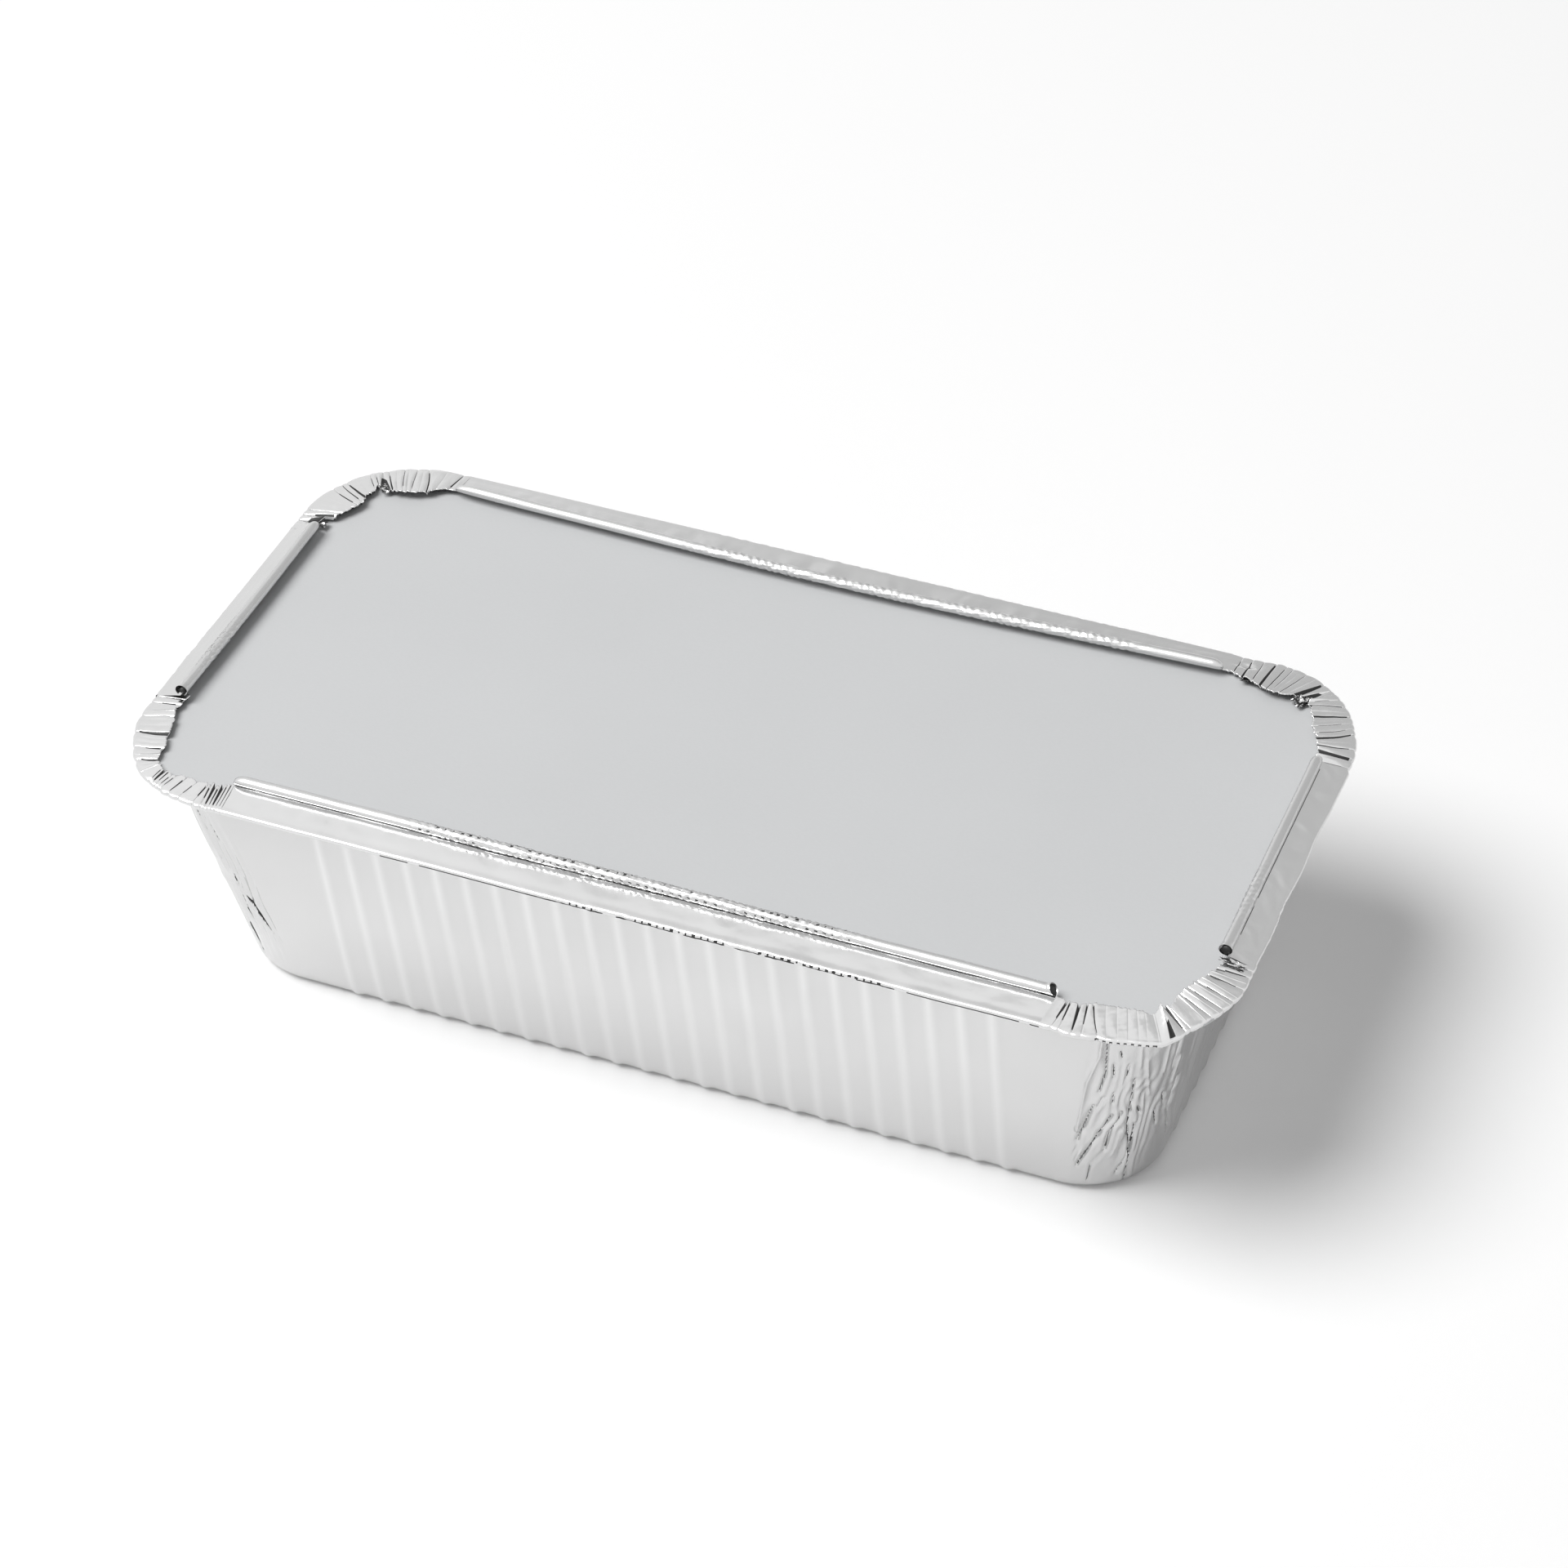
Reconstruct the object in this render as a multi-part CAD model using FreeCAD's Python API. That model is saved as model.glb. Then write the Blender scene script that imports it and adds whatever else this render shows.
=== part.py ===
import FreeCAD, Part

import math
import os

# Long foil food container with a board lid, millimetres, +Z up.
# The origin is on the table under the middle of the base. The long sides face -Y and +Y.
# The tray is one sheet of pressed foil: base, ribbed walls, gathered corners, ledge and a rim that
# is folded back over the lid. The lid is a plain board plate that lies on the ledge.

Vector = FreeCAD.Vector

# Foil and board
foil_thickness = 0.1
lid_thickness = 0.6

# Rim, measured over its outer folds
rim_length = 200.0
rim_width = 105.3
rim_corner_radius = 21.0

# Ledge that the lid lies on
ledge_height = 50.2
ledge_width = 5.7
ledge_bend_radius = 1.2

# Base, measured where the walls would meet the table
base_length = 171.0
base_width = 72.0
base_corner_radius = 14.6
base_bend_radius = 3.5

# Ribs pressed out of the walls
rib_pitch = 5.55
rib_width = 2.8
rib_height = 0.5
rib_top_drop = 3.0
rib_top_slant = 2.0
rib_bottom_slant = 0.8
rib_bottom_rise = 0.4
long_rib_plain_end = 6.0
short_rib_plain_end = 1.5

# Gathers in the wall corners
gather_count = 14
gather_height = 0.7
gather_peak_height = 14.0

# Folded rim
crimp_clearance = 0.25
long_flange_depth = 6.6
short_flange_depth = 5.2
long_flange_rise = 0.95
short_flange_rise = 1.15
bead_radius = 1.05
bead_turn = 300.0
bead_end_gap = 5.3

# Pleats where the rim is folded in at the corners
pleat_count = 11
pleat_height = 0.6
corner_flange_depth = 8.5
pleat_lobe_depth = 1.4
pleat_notch_depth = 2.2

# Lid
lid_edge_clearance = 0.6

# Resolution of the round stretches
rib_facets = 7
bend_steps = 5
fold_steps = 2
bead_steps = 10

SIDES = range(4)


def side_axes(side):
    """The direction along a side, anticlockwise seen from above, and its outward normal."""
    angle = math.radians(90.0 * side)
    along = Vector(math.cos(angle), math.sin(angle), 0)
    outward = Vector(math.sin(angle), -math.cos(angle), 0)
    return along, outward


def is_long(side):
    return side % 2 == 0


def uneven(index, side):
    """A share between 0.4 and 1 that makes each gather and pleat a little different."""
    return 0.7 + 0.3 * math.sin(2.3 * index + 1.7 * side)


class Ring:
    """A level line round the tray: a rounded rectangle at one height. gather is the share of the
    full gather height that its corners show."""

    def __init__(self, half_length, half_width, radius, height, gather=0.0):
        self.half_length = half_length
        self.half_width = half_width
        self.radius = radius
        self.height = height
        self.gather = gather

    def reach(self, side):
        return self.half_width if is_long(side) else self.half_length

    def run(self, side):
        """Half the length of the straight stretch of a side."""
        return (self.half_length if is_long(side) else self.half_width) - self.radius

    def grown(self, outward, up):
        return Ring(
            self.half_length + outward,
            self.half_width + outward,
            self.radius + outward,
            self.height + up,
            self.gather,
        )

    def on_side(self, side, station, push=0.0, lift=0.0):
        along, outward = side_axes(side)
        place = along * station + outward * (self.reach(side) + push)
        place.z = self.height + lift
        return place

    def on_corner(self, side, angle, push=0.0, lift=0.0):
        """A point on the corner that follows a side, turned by an angle in degrees from its normal."""
        along, outward = side_axes(side)
        turn = math.radians(angle)
        centre = along * self.run(side) + outward * (self.reach(side) - self.radius)
        arm = outward * math.cos(turn) + along * math.sin(turn)
        place = centre + arm * (self.radius + push)
        place.z = self.height + lift
        return place


# Curves, faces and section lines

def clamped(count, degree):
    """Multiplicities and knots of a clamped uniform spline with so many poles."""
    spans = count - degree
    mults = [degree + 1] + [1] * (spans - 1) + [degree + 1]
    return mults, list(range(spans + 1))


def patch(rows):
    """A face from rows of poles: straight across two rows, round across more, and the same along."""
    across = min(len(rows) - 1, 2)
    along = min(len(rows[0]) - 1, 2)
    mults_u, knots_u = clamped(len(rows), across)
    mults_v, knots_v = clamped(len(rows[0]), along)
    surface = Part.BSplineSurface()
    surface.buildFromPolesMultsKnots(
        rows, mults_u, mults_v, knots_u, knots_v, False, False, across, along
    )
    return surface.toShape()


def curve(poles):
    """An edge from a row of poles, straight through two and round over more."""
    if len(poles) == 2:
        return Part.LineSegment(poles[0], poles[1]).toShape()
    mults, knots = clamped(len(poles), 2)
    line = Part.BSplineCurve()
    line.buildFromPolesMultsKnots(poles, mults, knots, False, 2)
    return line.toShape()


def mitred(line, distance):
    """A line of (outward, up) points moved sideways, to the left of its run, corner by corner."""
    moved = []
    for index, point in enumerate(line):
        normals = []
        for first, second in ((index - 1, index), (index, index + 1)):
            if first < 0 or second == len(line):
                continue
            run = line[second][0] - line[first][0]
            rise = line[second][1] - line[first][1]
            length = math.hypot(run, rise)
            normals.append((-rise / length, run / length))
        across = sum(normal[0] for normal in normals) / len(normals)
        up = sum(normal[1] for normal in normals) / len(normals)
        stretch = distance / (across * across + up * up)
        moved.append((point[0] + across * stretch, point[1] + up * stretch))
    return moved


def bend(before, vertex, after, radius):
    """Points of the round bend at the vertex of an (outward, up) line."""
    into = math.atan2(vertex[1] - before[1], vertex[0] - before[0])
    out = math.atan2(after[1] - vertex[1], after[0] - vertex[0])
    turn = (out - into + math.pi) % (2 * math.pi) - math.pi
    tangent = radius * math.tan(abs(turn) / 2)
    chord = 2 * radius * math.sin(abs(turn) / bend_steps / 2)
    place = (vertex[0] - math.cos(into) * tangent, vertex[1] - math.sin(into) * tangent)
    points = [place]
    for index in range(bend_steps):
        heading = into + turn * (index + 0.5) / bend_steps
        place = (place[0] + math.cos(heading) * chord, place[1] + math.sin(heading) * chord)
        points.append(place)
    return points


def flat_face(points):
    return Part.Face(Part.makePolygon(points + points[:1]))


def facets(first, second):
    """Flat faces between two rows of points. A twisted cell is creased along one diagonal."""
    faces = []
    for index in range(len(first) - 1):
        a, b, c, d = first[index], first[index + 1], second[index + 1], second[index]
        normal = (b - a).cross(d - a)
        if abs(normal.dot(c - a)) < 1e-7 * normal.Length:
            faces.append(flat_face([a, b, c, d]))
        else:
            faces += [flat_face([a, b, c]), flat_face([a, c, d])]
    return faces


# Walls

def wall_foot():
    """How far in from the rim the walls meet the table, as the mean of long and short sides."""
    return (base_length + base_width - rim_length - rim_width) / 4


def wall_bends():
    """The wall's outer section as (outward, up) points: the bend under the ledge, and the bend
    into the base."""
    corner = (-ledge_width, ledge_height)
    foot = (wall_foot(), 0.0)
    top = bend((0.0, ledge_height), corner, foot, ledge_bend_radius)
    heel = bend(corner, foot, (foot[0] - base_length, 0.0), base_bend_radius)
    return top, heel


def wall_ring(outward, up):
    """The outer skin's ring at a point of the wall's section. Each side keeps its own slope."""
    top = -ledge_width
    down = max((outward - top) / (wall_foot() - top), 0.0)
    past = outward - top if down == 0.0 else min(outward - wall_foot(), 0.0)
    down = min(down, 1.0)

    def between(rim, base):
        return (rim + top) * (1 - down) + base * down + past

    return Ring(
        between(rim_length / 2, base_length / 2),
        between(rim_width / 2, base_width / 2),
        between(rim_corner_radius, base_corner_radius),
        up,
    )


def wall_rings(skin):
    """Rings of the bend under the ledge and of the bend into the base, for one skin: the outer (0)
    or the inner (1)."""
    top, heel = wall_bends()
    outer = top + heel
    inner = mitred(outer, -foil_thickness)
    rings = []
    for point, moved in zip(outer, inner):
        ring = wall_ring(*point)
        if skin == 1:
            ring = ring.grown(moved[0] - point[0], moved[1] - point[1])
        rings.append(ring)
    return rings[:len(top)], rings[len(top):]


def gathered_ring(top, bottom):
    """The ring of a flat wall at the height where its corners are gathered most."""
    share = (top.height - gather_peak_height) / (top.height - bottom.height)

    def between(upper, lower):
        return upper * (1 - share) + lower * share

    return Ring(
        between(top.half_length, bottom.half_length),
        between(top.half_width, bottom.half_width),
        between(top.radius, bottom.radius),
        gather_peak_height,
        1.0,
    )


def side_ends(ring, side):
    run = ring.run(side)
    return [ring.on_side(side, -run), ring.on_side(side, run)]


def corner_points(ring, side):
    """Points of a ring round the corner that follows a side, folded out and in where it gathers."""
    points = []
    for index in range(gather_count + 1):
        fold = 0.0
        if 0 < index < gather_count:
            fold = gather_height / 2 * ring.gather * uneven(index, side) * (1 if index % 2 else -1)
        points.append(ring.on_corner(side, 90.0 * index / gather_count, fold))
    return points


def loop(ring):
    """A ring as one wire."""
    points = []
    for side in SIDES:
        points += side_ends(ring, side)[:1] + corner_points(ring, side)
    return Part.makePolygon(points + points[:1])


def bend_faces(rings):
    """A bend all round the tray."""
    faces = []
    for upper, lower in zip(rings, rings[1:]):
        for side in SIDES:
            faces += facets(side_ends(upper, side), side_ends(lower, side))
            faces += facets(corner_points(upper, side), corner_points(lower, side))
    return faces


def rib_middles(side):
    """Where the ribs of a side stand along it, as many as its base has room for."""
    size, plain_end = (
        (base_length, long_rib_plain_end) if is_long(side) else (base_width, short_rib_plain_end)
    )
    count = max(int((size - 2 * base_corner_radius - 2 * plain_end) / rib_pitch), 0)
    return [rib_pitch * (index - (count - 1) / 2) for index in range(count)]


def rib_ends(length, skin):
    """Where a rib starts and ends along the wall, for the outer skin or the inner one."""
    line = [
        (0.0, 0.0),
        (rib_top_drop, 0.0),
        (rib_top_drop + rib_top_slant, rib_height),
        (length - rib_bottom_rise - rib_bottom_slant, rib_height),
        (length - rib_bottom_rise, 0.0),
        (length, 0.0),
    ]
    if skin == 1:
        line = mitred(line, -foil_thickness)
    return line[1][0], line[4][0]


def rib_section():
    """A rib's round section as (along the wall, out of it) points, from foot to foot."""
    half = rib_width / 2
    radius = (half ** 2 + rib_height ** 2) / (2 * rib_height)
    spread = math.asin(half / radius) if rib_height < half else math.pi - math.asin(half / radius)
    points = []
    for index in range(rib_facets + 1):
        angle = spread * (2 * index / rib_facets - 1)
        points.append((radius * math.sin(angle), radius * (math.cos(angle) - math.cos(spread))))
    return points


def panel_faces(top, middle, bottom, side, skin):
    """A flat wall with an opening behind each of its ribs, and the ribs with their slanted ends."""
    heads, waists, feet = side_ends(top, side), side_ends(middle, side), side_ends(bottom, side)
    across = side_axes(side)[0]
    origin = top.on_side(side, 0.0)
    slope = bottom.on_side(side, 0.0) - origin
    down = slope / slope.Length
    out = down.cross(across)
    start, end = rib_ends(slope.Length, skin)
    faces, holes = [], []
    for middle_place in rib_middles(side):
        rows = []
        for foot, slant in ((start, rib_top_slant), (end, -rib_bottom_slant)):
            rows.append([
                origin + across * (middle_place + x) + down * (foot + slant * z / rib_height) + out * z
                for x, z in rib_section()
            ])
        faces += facets(*rows) + [flat_face(row) for row in rows]
        corners = [rows[0][0], rows[0][-1], rows[1][-1], rows[1][0]]
        holes.append(Part.makePolygon(corners + corners[:1]))
    outline = [heads[0], waists[0], feet[0], feet[1], waists[1], heads[1]]
    faces.append(Part.Face([Part.makePolygon(outline + outline[:1])] + holes))
    return faces


def wall_faces(skin):
    upper_bend, lower_bend = wall_rings(skin)
    top, bottom = upper_bend[-1], lower_bend[0]
    middle = gathered_ring(top, bottom)
    faces = bend_faces(upper_bend) + bend_faces(lower_bend)
    for side in SIDES:
        faces += panel_faces(top, middle, bottom, side, skin)
        for upper, lower in ((top, middle), (middle, bottom)):
            faces += facets(corner_points(upper, side), corner_points(lower, side))
    return faces


def base_face(skin):
    return Part.Face(loop(wall_rings(skin)[1][-1]))


# Folded rim

def rim_ring():
    return Ring(rim_length / 2, rim_width / 2, rim_corner_radius, ledge_height)


def bead_end(side):
    """Half the length of a side's bead."""
    return rim_ring().run(side) - bead_end_gap


def flange_size(side):
    """How far a side's flange reaches in, and how much it rises on the way."""
    if is_long(side):
        return long_flange_depth, long_flange_rise
    return short_flange_depth, short_flange_rise


def fold_line(side):
    """The rim's outer section as (outward, up) points: the round fold, then the flange's lip."""
    height = lid_thickness + crimp_clearance + 2 * foil_thickness
    radius = height / 2
    depth, rise = flange_size(side)
    points = []
    for index in range(fold_steps + 1):
        angle = math.pi * (index / fold_steps - 0.5)
        points.append((radius * (math.cos(angle) - 1), radius * (math.sin(angle) + 1)))
    return points + [(-depth, height + rise)]


def bead_line(side):
    """The bead's section from the lip on: the flange's outer skin is the inside of the roll."""
    folds = fold_line(side)
    place = folds[-1]
    heading = math.atan2(place[1] - folds[-2][1], place[0] - folds[-2][0])
    step = math.radians(bead_turn / bead_steps)
    leg = (bead_radius - foil_thickness) * math.tan(step / 2)
    points = [place]
    for index in range(bead_steps + 1):
        length = leg if index in (0, bead_steps) else 2 * leg
        place = (place[0] + math.cos(heading) * length, place[1] + math.sin(heading) * length)
        points.append(place)
        heading -= step
    return points


def rim_lines(side, skin):
    """The section of a side's folds and of its bead, for the outer or the inner skin."""
    folds, bead = fold_line(side), bead_line(side)
    if skin == 1:
        line = mitred([(-ledge_width, 0.0)] + folds + bead[1:], foil_thickness)
        folds, bead = line[1:len(folds) + 1], line[len(folds):]
    return folds, bead


def straight_rim(side):
    """Fold, flange and bead of one side, both skins, with the bead's raw edge and open ends."""
    ring = rim_ring()
    end = bead_end(side)

    def row(point):
        return [ring.on_side(side, station, *point) for station in (-end, end)]

    faces = []
    tips = []
    for skin in (0, 1):
        folds, bead = rim_lines(side, skin)
        for first, second in zip(folds, folds[1:]):
            faces += facets(row(first), row(second))
        faces.append(patch([row(point) for point in bead]))
        tips.append(row(bead[-1]))
    faces += facets(*tips)
    for station in (-end, end):
        outer, inner = [
            [ring.on_side(side, station, *point) for point in rim_lines(side, skin)[1]]
            for skin in (0, 1)
        ]
        edges = [curve(outer), curve([outer[-1], inner[-1]]), curve(inner), curve([inner[0], outer[0]])]
        faces.append(Part.Face(Part.Wire(edges)))
    return faces


def corner_places(side):
    """Where the pleats cross the corner that follows a side: each a share of the way round, the
    side and station or angle it lies at, and whether it is on the round stretch."""
    ring = rim_ring()
    following = (side + 1) % 4
    round_length = math.radians(90.0) * rim_corner_radius
    straight = bead_end_gap / (2 * bead_end_gap + round_length)
    places = []
    for index in range(2 * pleat_count + 1):
        share = index / (2 * pleat_count)
        along = share * (2 * bead_end_gap + round_length)
        if share < straight:
            places.append((share, side, bead_end(side) + along, False))
        elif share > 1 - straight:
            back = 2 * bead_end_gap + round_length - along
            places.append((share, following, -bead_end(following) - back, False))
        else:
            places.append((share, side, math.degrees((along - bead_end_gap) / rim_corner_radius), True))
    return places


def pleat_lip(share, index, fold, lip, side):
    """Where a pleat ends: further in than the straight flanges, in two lobes with a notch between."""
    blend = math.sin(math.pi * share)
    mean_depth = (long_flange_depth + short_flange_depth) / 2
    deeper = (corner_flange_depth - mean_depth) * blend
    deeper += pleat_lobe_depth * math.sin(2 * math.pi * share) ** 2 * uneven(index, side)
    deeper -= pleat_notch_depth * max(1 - abs(share - 0.5) * pleat_count, 0.0)
    slope = (lip[1] - fold[1]) / (fold[0] - lip[0])
    ridge = pleat_height * (0.5 if index % 2 else -0.5) * uneven(index, side)
    edge = min(index, 2 * pleat_count - index)
    return (lip[0] - deeper, lip[1] + deeper * slope + (ridge if edge > 0 else 0.0))


def corner_rows(side, skin):
    """Columns of points over the corner that follows a side, from the fold's foot to the lip."""
    following = (side + 1) % 4
    starts, finishes = rim_lines(side, skin)[0], rim_lines(following, skin)[0]
    ring = rim_ring()
    rows = []
    for index, (share, beside, at, is_round) in enumerate(corner_places(side)):
        line = [
            tuple(first[axis] * (1 - share) + second[axis] * share for axis in (0, 1))
            for first, second in zip(starts, finishes)
        ]
        line[-1] = pleat_lip(share, index, line[-2], line[-1], side)
        place = ring.on_corner if is_round else ring.on_side
        rows.append([place(beside, at, *point) for point in line])
    return rows


def corner_rim(side):
    """The pleated flange round the corner that follows a side, both skins and the raw edge."""
    faces = []
    lips = []
    for skin in (0, 1):
        rows = corner_rows(side, skin)
        for first, second in zip(rows, rows[1:]):
            faces += facets(first, second)
        lips.append([row[-1] for row in rows])
    return faces + facets(*lips)


def ledge_face(skin):
    """The flat ledge on one skin, from the wall's bend out to the fold."""
    ring = rim_ring()
    outline = []
    for side in SIDES:
        end = bead_end(side)
        foot = rim_lines(side, skin)[0][0]
        path = [ring.on_side(side, -end, *foot)] + [row[0] for row in corner_rows(side, skin)]
        outline += [curve([first, second]) for first, second in zip(path, path[1:])]
    return Part.Face([Part.Wire(outline), loop(wall_rings(skin)[0][0])])


def make_tray():
    faces = []
    for side in SIDES:
        faces += straight_rim(side) + corner_rim(side)
    for skin in (0, 1):
        faces += wall_faces(skin) + [ledge_face(skin), base_face(skin)]
    skins = Part.makeCompound(faces)
    skins.sewShape(0.001)
    tray = Part.makeSolid(skins.Shells[0])
    tray.fix(0.001, 0.001, 0.001)
    return tray


# Lid

def make_lid():
    inset = foil_thickness + lid_edge_clearance
    length = rim_length - 2 * inset
    width = rim_width - 2 * inset
    floor = ledge_height + foil_thickness
    plate = Part.makeBox(length, width, lid_thickness, Vector(-length / 2, -width / 2, floor))
    uprights = [
        edge for edge in plate.Edges
        if abs(edge.Vertexes[0].Point.z - edge.Vertexes[1].Point.z) > lid_thickness / 2
    ]
    return plate.makeFillet(rim_corner_radius - inset, uprights)


def main():
    os.makedirs("parts", exist_ok=True)
    pieces = {"foil_tray": make_tray(), "board_lid": make_lid()}
    for name, shape in pieces.items():
        print(name, "valid", shape.isValid(), "solids", len(shape.Solids), "faces", len(shape.Faces),
              "volume", round(shape.Volume, 1))
        shape.exportStep(os.path.join("parts", name + ".step"))


main()
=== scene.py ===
"""Foil food container: pressed foil tray, its rim folded over a grey board lid, on a white floor.

All lengths in the tables are millimetres; meshes are written in metres in the frame's axes.
"""

import bpy
import math
import numpy as np
from mathutils import Matrix


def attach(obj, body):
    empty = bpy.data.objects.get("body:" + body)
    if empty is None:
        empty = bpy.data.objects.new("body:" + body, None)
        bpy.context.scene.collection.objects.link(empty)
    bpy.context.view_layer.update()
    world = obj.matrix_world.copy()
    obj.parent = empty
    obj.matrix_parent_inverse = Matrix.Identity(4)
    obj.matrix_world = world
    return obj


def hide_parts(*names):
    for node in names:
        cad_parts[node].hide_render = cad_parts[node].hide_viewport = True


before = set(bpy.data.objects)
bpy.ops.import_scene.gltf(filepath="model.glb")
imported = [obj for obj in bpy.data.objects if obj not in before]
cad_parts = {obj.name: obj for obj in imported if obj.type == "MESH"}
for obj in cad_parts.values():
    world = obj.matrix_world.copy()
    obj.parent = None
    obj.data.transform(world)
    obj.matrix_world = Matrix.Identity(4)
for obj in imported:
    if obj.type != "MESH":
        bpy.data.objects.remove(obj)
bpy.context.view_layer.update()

MM = 0.001

# Rounded rectangles as half length, half width, corner radius.
RIM = (100.0, 52.65, 21.0)
WALL_TOP = (94.3, 46.95, 15.3)
BASE = (85.5, 36.0, 14.6)
LID = (99.3, 51.95, 20.3)
# Heights of the ledge and the lid.
LEDGE = 50.2
LID_BOTTOM, LID_TOP, LID_EDGE = 50.3, 50.9, 0.1
# Bends at the foot of the walls and under the rim, and the fold at the edge of the rim.
HEEL = 2.9
LEDGE_BEND = 1.0
FOLD_TOP = 51.25
FOLD_RADIUS = 0.525
TROUGH = 0.05
WALL_TOP_GAP = RIM[0] - WALL_TOP[0] - LEDGE_BEND
# Beads: radius, how much lower than wide they are, and how far they are rolled, in degrees.
BEAD_RADIUS, BEAD_FLAT, BEAD_TURN = 1.05, 0.86, 318

RIB_PITCH, RIB_WIDTH, RIB_HEIGHT = 5.55, 3.0, 0.37
# How much brighter one flank of each rib is painted, as a painted highlight.
RIB_HIGHLIGHT = 0.13
# Sides go round from the near long one; each has a number of ribs and a shift along the side.
RIBS = {0: (23, 1.0), 1: (7, 0.0), 2: (23, -1.0), 3: (7, 0.0)}
# Length round a rim corner, and the width of a corner wall that its creases are drawn on.
ARC = RIM[2] * math.pi / 2
CORNER_WIDTH = 23.5
# Half width of the painted shade along the bottom of a deep crease, and the depth from which one has it.
CREASE_SHADE_HALF_WIDTH, DEEP_CREASE = 0.065, -0.44
# Which material a face has: the foil of its sheet, near-black foil as painted shade in slits, creases and
# gaps, or the darker, rougher bead foil.
OWN, PAINTED_SHADE, DARKER_BEAD = 0, 1, 2


# Small helpers

def value_noise(x, y, seed):
    """Smooth noise in 0..1 with one cell per unit."""
    table = np.random.default_rng(seed).random((97, 97))
    x, y = np.asarray(x, float), np.asarray(y, float)
    xi, yi = np.floor(x).astype(int), np.floor(y).astype(int)
    fx, fy = x - xi, y - yi
    fx, fy = fx * fx * (3 - 2 * fx), fy * fy * (3 - 2 * fy)
    a, b = table[xi % 97, yi % 97], table[(xi + 1) % 97, yi % 97]
    c, d = table[xi % 97, (yi + 1) % 97], table[(xi + 1) % 97, (yi + 1) % 97]
    return (a * (1 - fx) + b * fx) * (1 - fy) + (c * (1 - fx) + d * fx) * fy


def crumple(x, y, size, seed, count=6):
    """Small flat facets between sharp creases, about -1..1, as in foil pressed by hand."""
    rng = np.random.default_rng(seed)
    wx = x + size * 0.7 * (value_noise(x / size, y / size, seed + 1) - 0.5)
    wy = y + size * 0.7 * (value_noise(x / size, y / size, seed + 2) - 0.5)
    total = np.zeros(np.broadcast(wx, wy).shape)
    for _ in range(count):
        angle, phase = rng.uniform(0, math.pi), rng.uniform(0, 1)
        scale = size * rng.uniform(0.8, 2.2)
        wave = (wx * math.cos(angle) + wy * math.sin(angle)) / scale + phase
        total += np.abs(wave - np.floor(wave) - 0.5) * 4 - 1
    return total / count


def smooth(low, high, x):
    f = np.clip((np.asarray(x, float) - low) / (high - low), 0, 1)
    return f * f * (3 - 2 * f)


def axes(side):
    turn = math.radians(90 * side)
    return (np.array((math.cos(turn), math.sin(turn))),
            np.array((math.sin(turn), -math.cos(turn))))


def half_run(ring, side):
    """Half length along a side, and the distance from the middle out to it."""
    return (ring[0], ring[1]) if side % 2 == 0 else (ring[1], ring[0])


def sheet(name, grid, close_columns, material, shades=None):
    """Mesh object over a rows x columns grid of points in millimetres.

    shades picks for each face of a foil sheet its own foil, near-black foil as painted shade, or the bead
    foil.
    """
    rows, columns = grid.shape[:2]
    index = np.arange(rows * columns).reshape(rows, columns)
    if close_columns:
        index = np.hstack([index, index[:, :1]])
    quads = np.stack([index[:-1, :-1], index[:-1, 1:], index[1:, 1:], index[1:, :-1]],
                     axis=-1).reshape(-1, 4)
    mesh = bpy.data.meshes.new(name)
    mesh.vertices.add(rows * columns)
    mesh.vertices.foreach_set("co", (grid.reshape(-1, 3) * MM).astype(np.float32).ravel())
    mesh.loops.add(len(quads) * 4)
    mesh.loops.foreach_set("vertex_index", quads.ravel().astype(np.int32))
    mesh.polygons.add(len(quads))
    mesh.polygons.foreach_set("loop_start", np.arange(0, len(quads) * 4, 4, dtype=np.int32))
    mesh.polygons.foreach_set("use_smooth", np.ones(len(quads), bool))
    mesh.update(calc_edges=True)
    mesh.validate()
    obj = bpy.data.objects.new(name, mesh)
    bpy.context.scene.collection.objects.link(obj)
    mesh.materials.append(material)
    if shades is not None:
        mesh.materials.append(PAINTED_SHADE_FOIL)
        mesh.materials.append(BEAD_FOIL)
        mesh.polygons.foreach_set("material_index", shades.astype(np.int32).ravel())
    return obj


def joined(parts, name):
    """One object made of several."""
    with bpy.context.temp_override(active_object=parts[0], selected_editable_objects=parts):
        bpy.ops.object.join()
    parts[0].name = name
    return parts[0]


# Materials

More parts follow.
